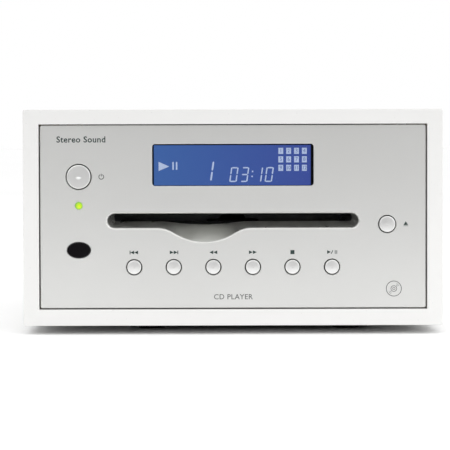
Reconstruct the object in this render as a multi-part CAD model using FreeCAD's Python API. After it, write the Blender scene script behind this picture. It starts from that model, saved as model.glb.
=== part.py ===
"""A compact slot-loading compact disc player in a mitred, lacquered cabinet.

Millimetres. X runs to the right as seen from the front, Y to the back and Z up. The origin is the centre
of the footprint of the whole player, on the surface it stands on. The front faces -Y.
"""
import FreeCAD, Part
import math
import os
from FreeCAD import Vector

X_AXIS = Vector(1, 0, 0)
Y_AXIS = Vector(0, 1, 0)
Z_AXIS = Vector(0, 0, 1)
tiny = 0.01

# ---------------------------------------------------------------- clearances shared by many pieces
fit_clear = 0.1
run_clear = 0.05
window_clear = 0.8
shaft_sink = 3.0

# ---------------------------------------------------------------- cabinet
cab_w = 212.7
cab_h = 109.8
cab_d = 197.0
side_t = 7.9
top_t = 7.6
bottom_t = 8.2
long_edge_r = 0.9
front_edge_r = 0.5
square_share = 0.99
cleat = 9.0
cleat_l = 14.0

# ---------------------------------------------------------------- feet
pad_h = 1.2
pad_r = 7.0
pad_inset = 11.0
plinth_h = 3.3
plinth_w = 123.6
plinth_shift = 8.2
plinth_setback = 25.5
plinth_corner_r = 3.0
foot_h = pad_h + plinth_h

# ---------------------------------------------------------------- rear panel and sockets
rear_inset = 3.0
rear_t = 2.0
rear_clear = 0.3
jack_reach = 10.0
jack_r = 4.15
jack_wall = 0.85
jack_lip = 1.0
jack_flange_r = 6.0
jack_flange_t = 1.2
jack_pin_bore_r = 1.6
jack_pitch = 20.0
jack_left_x = -46.0
jack_block_w = 36.0
jack_block_d = 12.0
jack_block_h = 14.0
socket_rise = 8.0
inlet_x = 42.0
inlet_body_w = 19.0
inlet_body_h = 11.0
inlet_body_d = 16.0
inlet_lip = 1.6
inlet_lip_t = 1.5
inlet_hole_w = 16.6
inlet_hole_h = 8.2
inlet_hole_d = 12.5
inlet_pin_r = 1.2
inlet_pin_pitch = 8.6
inlet_pin_back = 2.0
vent_l = 12.0
vent_h = 1.6
vent_step = 16.0
vent_pitch = 4.5
vent_count = 8
vent_rows = 4
vent_drop = 12.0

# ---------------------------------------------------------------- front panel
panel_gap_side = 0.7
panel_gap_top = 0.5
panel_gap_bottom = 0.7
panel_recess = 1.2
panel_t = 3.0
panel_corner_r = 0.8
panel_edge = 0.25
subframe_t = 2.4
subframe_margin = 1.2

# heights of the controls, as shares of the panel's height
display_level = 0.782
power_level = 0.7188
led_level = 0.561
slot_level = 0.4779
eject_level = 0.4569
ir_level = 0.3178
key_level = 0.2237
# the outer columns of controls stand this share of the way from the slot's end to the panel's edge
column_share = 0.424

# ---------------------------------------------------------------- display
display_w = 82.0
display_h = 21.4
display_corner_r = 1.5
lens_overlap = 2.0
lens_t = 1.2
mask_left = 0.8
mask_right = 1.4
mask_top = 0.7
mask_bottom = 0.25
mask_t = 0.5
lcd_t = 2.8

# ---------------------------------------------------------------- disc path
disc_d = 120.0
disc_t = 1.2
disc_play = 0.75
slot_l = 127.7
slot_h = 7.6
slot_chamfer = 0.7
dip_x = -14.5
dip_half_w = 24.3
dip_depth = 7.0
dip_bottom_share = 0.64
slit_h = 4.3
slit_dip = 1.7
slit_bulge = 0.6
slit_drop = 0.05
slit_play = 0.1
funnel_rim = 0.1
funnel_l = 9.0
funnel_flange = 2.5
felt_t = 3.0
felt_h = 4.0
felt_side = 3.0

# ---------------------------------------------------------------- keys and the control board
key_d = 7.1
key_hole_d = 8.2
key_pitch = 20.08
key_names = ["skip_back", "skip_forward", "rewind", "fast_forward", "stop", "play_pause"]
power_d = 12.0
power_hole_d = 13.2
eject_d = 8.1
eject_hole_d = 9.2
key_proud = 0.9
key_crown = 0.3
power_crown = 0.1
key_edge_r = 0.4
key_travel = 1.0
key_flange = 1.3
key_flange_t = 1.0
key_stem_r = 1.5
flange_gap = 0.3
switch_w = 6.0
switch_t = 1.6
switch_button_r = 1.6
switch_button_t = 0.6
board_gap = 7.4
board_t = 1.6
board_margin = 1.0
board_slot_clear = 1.0
board_post_r = 2.5
post_inset_x = 31.0
post_inset_z = 6.0

# ---------------------------------------------------------------- status lamp and infrared window
led_r = 1.75
led_proud = 0.4
led_flange = 0.8
ir_w = 11.8
ir_h = 7.9
ir_proud = 0.3
ir_flange = 1.2
receiver_w = 6.0
receiver_t = 3.6

# ---------------------------------------------------------------- screws
screw_r = 1.25
screw_head_r = 2.4
screw_head_t = 1.4
screw_bite = 1.8
screw_inset_x = 14.0
screw_inset_z = 5.0
rear_screw_r = 1.5
rear_screw_head_r = 3.0
rear_screw_bite = 8.0
driver_slot = 0.6

# ---------------------------------------------------------------- boards and mains parts
floor_gap = 6.0
main_board_w = 124.0
main_board_d = 69.0
board_pillar_r = 3.2
room_clear = 1.5
cap_r = 4.5
cap_count = 4
cap_pitch = 12.0
cap_first_x = 12.0
cap_inset = 14.0
coil_r = 29.0
coil_bore_r = 9.0
coil_edge_r = 4.0
coil_x = 36.0
ribbon_w = 18.0
ribbon_t = 0.4
ribbon_x = -34.0

# ---------------------------------------------------------------- transport
sheet_t = 1.2
tray_w = 149.6
tray_drop = 25.0
cover_rise = 17.5
disc_gap = 3.0
support_r = 4.0
support_inset = 8.0
guide_half = 4.0
guide_h = 2.5

# feed roller and its gears
roller_end_r = 4.0
roller_mid_r = 3.4
roller_half_l = 58.0
roller_shaft_r = 1.5
bearing_x = 62.0
bearing_w = 4.0
bearing_half = 3.6
module = 0.5
pressure_deg = 20.0
root_share = 1.25
backlash = 0.14
roller_teeth = 30
small_teeth = 18
big_teeth = 45
pinion_teeth = 18
gear_w = 2.2
gear_gap = 0.5
gear_clear = 0.6
gear_slope = 20.0
axle_r = 1.0
loader_motor_r = 6.0
loader_motor_l = 22.0
cradle_half = 5.0

# turntable, pickup and clamp
turntable_r = 14.0
turntable_t = 2.2
cone_r = 7.4
cone_taper = 1.2
cone_h = 2.4
hub_r = 3.0
spindle_r = 1.0
spindle_motor_r = 11.0
spindle_motor_h = 9.0
traverse_t = 1.6
traverse_drop = 4.6
traverse_x0 = -22.0
traverse_front = 19.0
plate_clear = 1.0
traverse_back = 41.0
damper_r = 4.0
damper_pin_r = 2.0
bar_t = 3.0
rod_r = 1.5
rod_spread = 14.0
rod_drop = 4.0
rod_end_gap = 0.4
screw_offset = 26.0
nut_half = 4.0
lens_first_r = 24.0
sled_travel = 33.0
sled_half_l = 8.0
sled_half_w = 17.0
sled_h = 7.2
optics_half_w = 8.0
optics_margin = 1.0
optics_rise = 2.4
lens_r = 3.4
lens_rise = 1.6
sled_motor_r = 6.4
sled_motor_l = 15.0
puck_r = 13.0
puck_h = 5.0
puck_recess_r = 8.6
puck_recess_h = 3.0
puck_neck_r = 5.0
puck_neck_clear = 0.4
puck_cap_r = 7.6
puck_cap_t = 1.2
arm_half_w = 12.0
arm_rise = 1.3
pivot_back = 4.6
pivot_r = 1.5
lug_t = 2.0
lug_gap = 0.8
clamp_lift_deg = 7.0

# ---------------------------------------------------------------- places worked out from the sizes above
overall_d = cab_d + jack_reach - rear_inset
front_y = -overall_d / 2
back_y = front_y + cab_d
cab_z0 = foot_h
cab_z1 = foot_h + cab_h
inner_x = cab_w / 2 - side_t
floor_z = cab_z0 + bottom_t
ceiling_z = cab_z1 - top_t
rear_y1 = back_y - rear_inset
rear_y0 = rear_y1 - rear_t

panel_x = inner_x - panel_gap_side
panel_z0 = floor_z + panel_gap_bottom
panel_z1 = ceiling_z - panel_gap_top
panel_h = panel_z1 - panel_z0
panel_y0 = front_y + panel_recess
panel_y1 = panel_y0 + panel_t
subframe_y1 = panel_y1 + subframe_t
board_y0 = panel_y1 + board_gap
board_y1 = board_y0 + board_t
board_x = inner_x - cleat - board_margin
board_z0 = floor_z + cleat + board_margin
board_z1 = ceiling_z - cleat - board_margin
vent_z = ceiling_z - cleat - vent_drop


def level(share):
    """Height of a control, from its share of the panel's height."""
    return panel_z0 + share * panel_h


slot_mid_z = level(slot_level)
slot_top = slot_mid_z + slot_h / 2
slot_floor = slot_mid_z - slot_h / 2
slot_half = slot_l / 2
funnel_inset = fit_clear + funnel_rim
slit_z1 = slot_top - funnel_inset - slit_drop
slit_z0 = slit_z1 - slit_h
slit_half = disc_d / 2 + disc_play
disc_path_z = (slit_z0 + slit_z1) / 2
funnel_y0 = panel_y0 + slot_chamfer
funnel_y1 = funnel_y0 + funnel_l
funnel_x = slot_half + funnel_flange
funnel_z0 = slot_floor - dip_depth - funnel_flange
funnel_z1 = slot_top + funnel_flange
felt_half = slit_half + felt_side

column_x = slot_half + column_share * (panel_x - slot_half)
keys = {
    "power": (-column_x, level(power_level), power_d, power_hole_d),
    "eject": (column_x, level(eject_level), eject_d, eject_hole_d),
}
for n, name in enumerate(key_names):
    keys[name] = ((n - (len(key_names) - 1) / 2) * key_pitch, level(key_level), key_d, key_hole_d)
led_place = (-column_x, level(led_level))
ir_place = (-column_x, level(ir_level))
display_z = level(display_level)
stem_end = board_y0 - switch_t - switch_button_t - key_travel - fit_clear

lens_w = display_w + 2 * lens_overlap
lens_h = display_h + 2 * lens_overlap
lens_y1 = panel_y1 + lens_t
mask_y1 = lens_y1 + mask_t
lcd_y1 = mask_y1 + lcd_t

panel_screws = [
    (x, z)
    for x in (screw_inset_x - panel_x, 0, panel_x - screw_inset_x)
    for z in (panel_z0 + screw_inset_z, panel_z1 - screw_inset_z)
]
board_posts = [
    (side * (panel_x - post_inset_x), z)
    for side in (-1, 1)
    for z in (board_z0 + post_inset_z, board_z1 - post_inset_z)
]
rear_screws = [
    (side * (inner_x - cleat / 2), z)
    for side in (-1, 1)
    for z in (floor_z + cleat / 2, ceiling_z - cleat / 2)
]

tray_y0 = funnel_y1 + felt_t
tray_x = tray_w / 2
tray_z0 = disc_path_z - tray_drop
tray_floor = tray_z0 + sheet_t
cover_z = disc_path_z + cover_rise
turntable_z = slit_z0 - slit_play - cone_h
roller_tip_r = (roller_teeth / 2 + 1) * module
roller_y = tray_y0 + sheet_t + roller_tip_r + gear_clear
roller_z = slit_z0 - slit_play - roller_end_r
gear_x0 = bearing_x + bearing_w + gear_gap
gear_x1 = gear_x0 + gear_w + gear_gap
gear_end = gear_x1 + gear_w
slope = math.radians(gear_slope)
small_reach = (roller_teeth + small_teeth) * module / 2
big_reach = (big_teeth + pinion_teeth) * module / 2
reduction_y = roller_y + small_reach * math.cos(slope)
reduction_z = roller_z - small_reach * math.sin(slope)
pinion_y = reduction_y + big_reach * math.cos(slope)
pinion_z = reduction_z - big_reach * math.sin(slope)
loader_motor_x1 = gear_x0 - gear_gap - bearing_w / 2
# the disc stops just behind the slot, but a small one goes further in, so the plate clears the loading motor
motor_back = pinion_y + loader_motor_r
spindle_y = max(tray_y0 + sheet_t + disc_gap + disc_d / 2, motor_back + plate_clear + traverse_front)
pivot_y = spindle_y + disc_d / 2 + pivot_back
tray_y1 = pivot_y + pivot_back

traverse_z1 = turntable_z - traverse_drop
traverse_z0 = traverse_z1 - traverse_t
rod_z = traverse_z0 - rod_drop
sled_x0 = lens_first_r - sled_half_l
sled_x1 = lens_first_r + sled_half_l
bar_x0 = sled_x0 - rod_end_gap - bar_t
bar_x1 = sled_x1 + sled_travel + rod_end_gap
bar_end = bar_x1 + bar_t
screw_y = spindle_y + screw_offset
rod_lines = [spindle_y - rod_spread, spindle_y + rod_spread]
traverse_y0 = spindle_y - traverse_front
traverse_y1 = spindle_y + traverse_back
dampers = [
    (traverse_x0 + damper_r, traverse_y0 + damper_r),
    (traverse_x0 + damper_r, traverse_y1 - damper_r),
    (bar_x1 - damper_r, traverse_y1 - damper_r),
]
disc_rest_z = turntable_z + disc_t
puck_top = disc_rest_z + puck_h
arm_z0 = puck_top + arm_rise
arm_z1 = arm_z0 + sheet_t
pivot_z = arm_z0 + sheet_t / 2
knuckle_r = pivot_r + sheet_t
lug_x0 = arm_half_w + lug_gap

main_board_z0 = floor_z + floor_gap
main_board_z1 = main_board_z0 + board_t
main_board_y1 = rear_y0 - fit_clear
main_board_y0 = main_board_y1 - main_board_d
socket_z = main_board_z1 + socket_rise
jacks = [jack_left_x, jack_left_x + jack_pitch]
under_room = tray_z0 - floor_z
coil_h = under_room - 2 * room_clear
coil_y = tray_y0 + support_inset + coil_r
supports = [
    (side * (tray_x - support_inset), y)
    for side in (-1, 1)
    for y in (tray_y0 + support_inset, tray_y1 - support_inset)
]


# ---------------------------------------------------------------- shapes
def box(x0, x1, y0, y1, z0, z1):
    return Part.makeBox(x1 - x0, y1 - y0, z1 - z0, Vector(x0, y0, z0))


def rod(start, axis, radius, length):
    return Part.makeCylinder(radius, length, Vector(*start), axis)


def rounded_box(x0, x1, y0, y1, z0, z1, radius, axis):
    """A box whose four edges along one axis are rounded."""
    solid = box(x0, x1, y0, y1, z0, z1)
    along = [e for e in solid.Edges if abs(e.tangentAt(e.FirstParameter).dot(axis)) > 0.99]
    return solid.makeFillet(radius, along)


def group(shapes):
    """Separate solids kept in one file."""
    return Part.makeCompound(shapes)


def flat_edges(shape, y, x_reach, z_low, z_high):
    """Edges that lie in the plane at y, within a reach either side of the middle and between two heights."""
    found = []
    for edge in shape.Edges:
        b = edge.BoundBox
        in_plane = b.YLength < tiny and abs(b.YMin - y) < tiny
        inside = max(abs(b.XMin), abs(b.XMax)) < x_reach and b.ZMin > z_low and b.ZMax < z_high
        if in_plane and inside:
            found.append(edge)
    return found


def slot_wire(y, half_l, top, floor, depth, bulge, inset):
    """Outline of a slot with bulging ends and the finger dip, drawn inset by a margin all round."""
    half_l, top, floor = half_l - inset, top - inset, floor + inset
    reach = (dip_half_w**2 + depth**2) / (2 * depth)
    turn = 2 * math.atan2(depth, dip_half_w)
    bottom_r = reach * dip_bottom_share - inset
    shoulder_r = reach * (1 - dip_bottom_share) + inset
    middle = (top + floor) / 2
    shoulder_z = floor - shoulder_r
    join_x = bottom_r * math.sin(turn)
    join_z = shoulder_z + shoulder_r * math.cos(turn)
    mid_x = dip_half_w - shoulder_r * math.sin(turn / 2)
    mid_z = shoulder_z + shoulder_r * math.cos(turn / 2)

    def at(x, z):
        return Vector(x, y, z)

    right, left = half_l - bulge, bulge - half_l
    lip_right, lip_left = at(dip_x + dip_half_w, floor), at(dip_x - dip_half_w, floor)
    join_right, join_left = at(dip_x + join_x, join_z), at(dip_x - join_x, join_z)
    edges = [
        Part.LineSegment(at(left, top), at(right, top)),
        Part.Arc(at(right, top), at(half_l, middle), at(right, floor)),
        Part.LineSegment(at(right, floor), lip_right),
        Part.Arc(lip_right, at(dip_x + mid_x, mid_z), join_right),
        Part.Arc(join_right, at(dip_x, floor - depth), join_left),
        Part.Arc(join_left, at(dip_x - mid_x, mid_z), lip_left),
        Part.LineSegment(lip_left, at(left, floor)),
        Part.Arc(at(left, floor), at(-half_l, middle), at(left, top)),
    ]
    return Part.Wire([e.toShape() for e in edges])


def panel_slot_wire(y, inset):
    """The slot as it is cut in the panel, with half round ends."""
    return slot_wire(y, slot_half, slot_top, slot_floor, dip_depth, slot_h / 2 - inset, inset)


def slot_solid(y0, y1, inset):
    """The slot's outline pushed straight back from y0 to y1."""
    return Part.Face(panel_slot_wire(y0, inset)).extrude(Vector(0, y1 - y0, 0))


def oval(place, width, height, y0, y1):
    """An ellipse wider than it is high, pushed back from y0 to y1."""
    ellipse = Part.Ellipse(Vector(0, 0, 0), width / 2, height / 2)
    face = Part.Face(Part.Wire(ellipse.toShape()))
    face.rotate(Vector(0, 0, 0), X_AXIS, 90)
    face.translate(Vector(place[0], y0, place[1]))
    return face.extrude(Vector(0, y1 - y0, 0))


def gear(teeth, x0, width, y, z, toward):
    """A spur gear about X with one tooth centred on the angle toward, measured from +Y to +Z."""
    pitch_r = teeth * module / 2
    base_r = pitch_r * math.cos(math.radians(pressure_deg))
    tip_r = pitch_r + module
    root_r = pitch_r - root_share * module
    half_tooth = (math.pi * module / 2 - backlash) / (2 * pitch_r)
    middle_r = (base_r + tip_r) / 2
    step = 2 * math.pi / teeth

    def involute(radius):
        roll = math.sqrt(max((radius / base_r) ** 2 - 1, 0))
        return roll - math.atan(roll)

    def at(radius, angle):
        return Vector(x0, y + radius * math.cos(angle), z + radius * math.sin(angle))

    foot = half_tooth + involute(pitch_r)
    middle = foot - involute(middle_r)
    tip = foot - involute(tip_r)
    edges = []
    for n in range(teeth):
        a = toward + n * step
        edges += [
            Part.LineSegment(at(root_r, a - foot), at(base_r, a - foot)),
            Part.Arc(at(base_r, a - foot), at(middle_r, a - middle), at(tip_r, a - tip)),
            Part.Arc(at(tip_r, a - tip), at(tip_r, a), at(tip_r, a + tip)),
            Part.Arc(at(tip_r, a + tip), at(middle_r, a + middle), at(base_r, a + foot)),
            Part.LineSegment(at(base_r, a + foot), at(root_r, a + foot)),
            Part.Arc(at(root_r, a + foot), at(root_r, a + step / 2), at(root_r, a + step - foot)),
        ]
    face = Part.Face(Part.Wire([e.toShape() for e in edges]))
    return face.extrude(Vector(width, 0, 0))


# ---------------------------------------------------------------- cabinet
def cabinet_tube():
    """The whole cabinet as one tube with rounded long edges, before it is parted at its mitres."""
    outside = rounded_box(-cab_w / 2, cab_w / 2, front_y, back_y, cab_z0, cab_z1, long_edge_r, Y_AXIS)
    return outside.cut(box(-inner_x, inner_x, front_y, back_y, floor_z, ceiling_z))


def runs_square(edge):
    """Whether an edge starts along X or Z, which a mitre's edge doesn't."""
    along = edge.tangentAt(edge.FirstParameter)
    return max(abs(along.x), abs(along.z)) > square_share


def cabinet_board(tube, side):
    """One board of the cabinet, parted from its neighbours along the mitres, its front edges rounded."""
    corners = [
        (-inner_x, floor_z, -cab_w / 2, cab_z0),
        (inner_x, floor_z, cab_w / 2, cab_z0),
        (inner_x, ceiling_z, cab_w / 2, cab_z1),
        (-inner_x, ceiling_z, -cab_w / 2, cab_z1),
    ]
    first = ["bottom", "right", "top", "left"].index(side)
    (ax, az, far_ax, far_az), (bx, bz, far_bx, far_bz) = corners[first], corners[(first + 1) % 4]
    ring = [
        Vector(ax, front_y, az),
        Vector(2 * far_ax - ax, front_y, 2 * far_az - az),
        Vector(2 * far_bx - bx, front_y, 2 * far_bz - bz),
        Vector(bx, front_y, bz),
        Vector(ax, front_y, az),
    ]
    wedge = Part.Face(Part.makePolygon(ring)).extrude(Vector(0, cab_d, 0))
    board = tube.common(wedge)
    front = flat_edges(board, front_y, cab_w, 0, cab_z1 + cab_w)
    return board.makeFillet(front_edge_r, [e for e in front if runs_square(e)])


def corner_cleats():
    """Eight glue blocks in the corners, four behind the front and four that take the rear panel's screws."""
    blocks = []
    for y0 in (subframe_y1, rear_y0 - cleat_l):
        for x0 in (-inner_x, inner_x - cleat):
            for z0 in (floor_z, ceiling_z - cleat):
                blocks.append(box(x0, x0 + cleat, y0, y0 + cleat_l, z0, z0 + cleat))
    bite_y = rear_y0 - rear_screw_bite
    bites = [rod((x, bite_y, z), Y_AXIS, rear_screw_r, rear_screw_bite) for x, z in rear_screws]
    return group([b.cut(bites) for b in blocks])


def base_plinth():
    x0 = plinth_shift - plinth_w / 2
    y0, y1 = front_y + plinth_setback, back_y - plinth_setback
    return rounded_box(x0, x0 + plinth_w, y0, y1, pad_h, foot_h, plinth_corner_r, Z_AXIS)


def foot_pads():
    pads = []
    for side in (-1, 1):
        x = plinth_shift + side * (plinth_w / 2 - pad_inset)
        for y in (front_y + plinth_setback + pad_inset, back_y - plinth_setback - pad_inset):
            pads.append(rod((x, y, 0), Z_AXIS, pad_r, pad_h))
    return group(pads)


# ---------------------------------------------------------------- front
def window(grow, y0, y1):
    """The display's rounded rectangle, grown by a margin all round."""
    half_w, half_h = display_w / 2 + grow, display_h / 2 + grow
    return rounded_box(
        -half_w, half_w, y0, y1, display_z - half_h, display_z + half_h, display_corner_r + grow, Y_AXIS
    )


def front_panel():
    """The plate with every opening in it, bevelled round its edge and round each opening."""
    panel = rounded_box(-panel_x, panel_x, panel_y0, panel_y1, panel_z0, panel_z1, panel_corner_r, Y_AXIS)
    cutters = [
        slot_solid(panel_y0, panel_y1, 0),
        window(0, panel_y0, panel_y1),
        oval(ir_place, ir_w + 2 * fit_clear, ir_h + 2 * fit_clear, panel_y0, panel_y1),
        rod((led_place[0], panel_y0, led_place[1]), Y_AXIS, led_r + fit_clear, panel_t),
    ]
    for x, z, _, hole_d in keys.values():
        cutters.append(rod((x, panel_y0, z), Y_AXIS, hole_d / 2, panel_t))
    for x, z in panel_screws:
        cutters.append(rod((x, panel_y1 - screw_bite, z), Y_AXIS, screw_r, screw_bite))
    panel = panel.cut(cutters)
    slot_low, slot_high = slot_floor - dip_depth, slot_top
    slot_edges = flat_edges(panel, panel_y0, slot_half + tiny, slot_low - tiny, slot_high + tiny)
    panel = panel.makeChamfer(slot_chamfer, slot_edges)
    reach = slot_chamfer + tiny
    bevelled = flat_edges(panel, panel_y0, slot_half + reach, slot_low - reach, slot_high + reach)
    rest = [
        e
        for e in flat_edges(panel, panel_y0, panel_x + tiny, panel_z0 - tiny, panel_z1 + tiny)
        if not any(e.isSame(b) for b in bevelled)
    ]
    return panel.makeChamfer(panel_edge, rest)


def front_subframe():
    """The moulded frame behind the panel: it guides the keys and carries the control board on four posts."""
    half = inner_x - subframe_margin
    frame = box(-half, half, panel_y1, subframe_y1, floor_z + subframe_margin, ceiling_z - subframe_margin)
    posts = [rod((x, panel_y1, z), Y_AXIS, board_post_r, board_y0 - panel_y1) for x, z in board_posts]
    frame = frame.fuse(posts)
    deep = board_y0 - panel_y1
    collar = ir_flange + fit_clear
    half_w, half_h = lens_w / 2 + fit_clear, lens_h / 2 + fit_clear
    cutters = [
        box(-half_w, half_w, panel_y1, subframe_y1, display_z - half_h, display_z + half_h),
        box(
            -funnel_x - fit_clear, funnel_x + fit_clear, panel_y1, subframe_y1,
            funnel_z0 - fit_clear, funnel_z1 + fit_clear,
        ),
        oval(ir_place, ir_w + 2 * collar, ir_h + 2 * collar, panel_y1, subframe_y1),
        rod((led_place[0], panel_y1, led_place[1]), Y_AXIS, led_r + led_flange + fit_clear, deep),
    ]
    for x, z, width, _ in keys.values():
        cutters.append(rod((x, panel_y1, z), Y_AXIS, width / 2 + fit_clear, deep))
    for x, z in panel_screws:
        cutters.append(rod((x, panel_y1, z), Y_AXIS, screw_r + fit_clear, subframe_t))
    return frame.cut(cutters)


def lens_box(y0, y1):
    return box(-lens_w / 2, lens_w / 2, y0, y1, display_z - lens_h / 2, display_z + lens_h / 2)


def display_mask():
    """A thin frame that hides the edges of the display behind its window."""
    opening = box(
        mask_left - display_w / 2, display_w / 2 - mask_right, lens_y1, mask_y1,
        display_z - display_h / 2 + mask_bottom, display_z + display_h / 2 - mask_top,
    )
    return lens_box(lens_y1, mask_y1).cut(opening)


def slot_funnel():
    """The moulded throat that leads a disc from the slot in the panel down to the flat slit behind it."""
    lip = slot_solid(funnel_y0, panel_y1, fit_clear)
    block = box(-funnel_x, funnel_x, panel_y1, funnel_y1, funnel_z0, funnel_z1)
    slit = slot_wire(funnel_y1, slit_half, slit_z1, slit_z0, slit_dip, slit_bulge, 0)
    throat = Part.makeLoft([panel_slot_wire(funnel_y0, funnel_inset), slit], True, True)
    return lip.fuse(block).cut(throat)


def felt_strips():
    """The two strips above and below the slit that keep dust out."""
    levels = (slit_z1, slit_z0 - slit_dip - felt_h)
    return group([box(-felt_half, felt_half, funnel_y1, tray_y0, z0, z0 + felt_h) for z0 in levels])


def key(name):
    """A round key: crowned face, straight barrel, a flange that keeps it in and a stem towards its switch."""
    x, z, width, _ = keys[name]
    radius = width / 2
    crown = power_crown if name == "power" else key_crown
    y0 = panel_y0 - key_proud
    flange_y = subframe_y1 + flange_gap
    ball_r = (radius**2 + crown**2) / (2 * crown)
    half_x, half_y = radius / 2, y0 + ball_r - math.sqrt(ball_r**2 - radius**2 / 4)
    top, shoulder = Vector(x, y0, z), Vector(x + radius, y0 + crown, z)
    foot, middle = Vector(x + radius, flange_y, z), Vector(x, flange_y, z)
    profile = [
        Part.Arc(top, Vector(x + half_x, half_y, z), shoulder).toShape(), Part.makeLine(shoulder, foot),
        Part.makeLine(foot, middle), Part.makeLine(middle, top),
    ]
    barrel = Part.Face(Part.Wire(profile)).revolve(middle, Y_AXIS, 360)
    rim = [e for e in barrel.Edges if abs(e.BoundBox.YMax - y0 - crown) < tiny and e.BoundBox.YLength < tiny]
    barrel = barrel.makeFillet(key_edge_r, rim)
    flange = rod((x, flange_y, z), Y_AXIS, radius + key_flange, key_flange_t)
    stem = rod((x, flange_y, z), Y_AXIS, key_stem_r, stem_end - flange_y)
    return barrel.fuse([flange, stem])


def tact_switches():
    """One push switch on the control board behind each key."""
    shapes = []
    for x, z, _, _ in keys.values():
        half = switch_w / 2
        body = box(x - half, x + half, board_y0 - switch_t, board_y0, z - half, z + half)
        button = rod((x, board_y0 - switch_t - switch_button_t, z), Y_AXIS, switch_button_r, switch_button_t)
        shapes.append(body.fuse(button))
    return group(shapes)


def control_board():
    half_x, low = funnel_x + board_slot_clear, funnel_z0 - board_slot_clear
    high = max(funnel_z1, slit_z1 + felt_h) + board_slot_clear
    board = box(-board_x, board_x, board_y0, board_y1, board_z0, board_z1)
    return board.cut(box(-half_x, half_x, board_y0, board_y1, low, high))


def status_led():
    """A round lamp on the control board whose domed tip stands in the panel."""
    x, z = led_place
    tip_y = panel_y0 - led_proud
    collar = rod((x, panel_y1, z), Y_AXIS, led_r + led_flange, board_y0 - panel_y1)
    tip = rod((x, panel_y0, z), Y_AXIS, led_r, panel_t)
    ball_r = (led_r**2 + led_proud**2) / (2 * led_proud)
    ball = Part.makeSphere(ball_r, Vector(x, tip_y + ball_r, z))
    dome = ball.common(rod((x, tip_y, z), Y_AXIS, led_r, led_proud))
    return collar.fuse([tip, dome])


def ir_window():
    """The dark oval that the remote control is pointed at, with a collar behind the panel."""
    front = oval(ir_place, ir_w, ir_h, panel_y0 - ir_proud, panel_y1)
    rim = [e for e in front.Edges if e.BoundBox.YMax < panel_y0 - ir_proud + tiny]
    front = front.makeFillet(ir_proud, rim)
    return front.fuse(oval(ir_place, ir_w + 2 * ir_flange, ir_h + 2 * ir_flange, panel_y1, subframe_y1))


def ir_receiver():
    x, z = ir_place
    half = receiver_w / 2
    return box(x - half, x + half, board_y0 - receiver_t, board_y0, z - half, z + half)


# ---------------------------------------------------------------- transport
def transport_tray():
    """The folded steel tray that carries the loading mechanism, open at the top."""
    outer = box(-tray_x, tray_x, tray_y0, tray_y1, tray_z0, cover_z)
    inner = box(
        -tray_x + sheet_t, tray_x - sheet_t, tray_y0 + sheet_t, tray_y1 - sheet_t, tray_floor, cover_z
    )
    mouth_x, mouth_z = slit_half + window_clear, slit_dip + window_clear
    mouth = box(-mouth_x, mouth_x, tray_y0, tray_y0 + sheet_t, slit_z0 - mouth_z, slit_z1 + window_clear)
    return outer.cut([inner, mouth])


def transport_cover():
    """The lid of the tray, with two lugs bent down to hold the clamp's pin."""
    cover = box(-tray_x, tray_x, tray_y0, tray_y1, cover_z, cover_z + sheet_t)
    lugs = []
    for x0 in (-lug_x0 - lug_t, lug_x0):
        z0 = pivot_z - knuckle_r
        lugs.append(box(x0, x0 + lug_t, pivot_y - knuckle_r, pivot_y + knuckle_r, z0, cover_z))
    return cover.fuse(lugs).cut(clamp_pin())


def support_pillars():
    """Pillars on the cabinet's floor: four carry the tray and four the main board."""
    shapes = [rod((x, y, floor_z), Z_AXIS, support_r, under_room) for x, y in supports]
    inset = board_pillar_r + board_margin
    for x in (inset - main_board_w / 2, main_board_w / 2 - inset):
        for y in (main_board_y0 + inset, main_board_y1 - inset):
            shapes.append(rod((x, y, floor_z), Z_AXIS, board_pillar_r, floor_gap))
    return group(shapes)


def disc_guide():
    """The bar above the feed roller that a disc slides along."""
    z0 = slit_z1 + fit_clear
    reach = tray_x - sheet_t
    return box(-reach, reach, roller_y - guide_half, roller_y + guide_half, z0, z0 + guide_h)


def feed_roller():
    """Rubber sleeve that narrows towards the middle, so it only grips a disc by its edges."""
    halves = []
    for way in (-1, 1):
        end = Vector(way * roller_half_l, roller_y, roller_z)
        halves.append(Part.makeCone(roller_end_r, roller_mid_r, roller_half_l, end, Vector(-way, 0, 0)))
    core = rod((-roller_half_l, roller_y, roller_z), X_AXIS, roller_shaft_r, 2 * roller_half_l)
    return halves[0].fuse(halves[1]).cut(core)


def roller_shaft():
    start = -bearing_x - bearing_w - gear_gap / 2
    return rod((start, roller_y, roller_z), X_AXIS, roller_shaft_r, gear_x0 + gear_w - start)


def roller_gear():
    wheel = gear(roller_teeth, gear_x0, gear_w, roller_y, roller_z, -slope)
    return wheel.cut(rod((gear_x0, roller_y, roller_z), X_AXIS, roller_shaft_r, gear_w))


def loader_mounts():
    """Two pillars that the roller's shaft turns in, and the saddle that the loading motor lies in."""
    shapes = []
    bore = rod((-tray_x, roller_y, roller_z), X_AXIS, roller_shaft_r + run_clear, tray_w)
    for x0 in (-bearing_x - bearing_w, bearing_x):
        block = box(
            x0, x0 + bearing_w, roller_y - bearing_half, roller_y + bearing_half,
            tray_floor, roller_z + bearing_half,
        )
        shapes.append(block.cut(bore))
    start = loader_motor_x1 - loader_motor_l
    saddle = box(
        start, loader_motor_x1, pinion_y - cradle_half, pinion_y + cradle_half, tray_floor, pinion_z
    )
    shapes.append(saddle.cut(rod((start, pinion_y, pinion_z), X_AXIS, loader_motor_r, loader_motor_l)))
    return group(shapes)


def reduction_gear():
    """A small wheel driven round with a large one."""
    gap_angle = math.pi - slope + math.pi / small_teeth
    small = gear(small_teeth, gear_x0, gear_w + gear_gap, reduction_y, reduction_z, gap_angle)
    big = gear(big_teeth, gear_x1, gear_w, reduction_y, reduction_z, -slope)
    bore = rod((gear_x0, reduction_y, reduction_z), X_AXIS, axle_r + run_clear, gear_end - gear_x0)
    return small.fuse(big).cut(bore)


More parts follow.
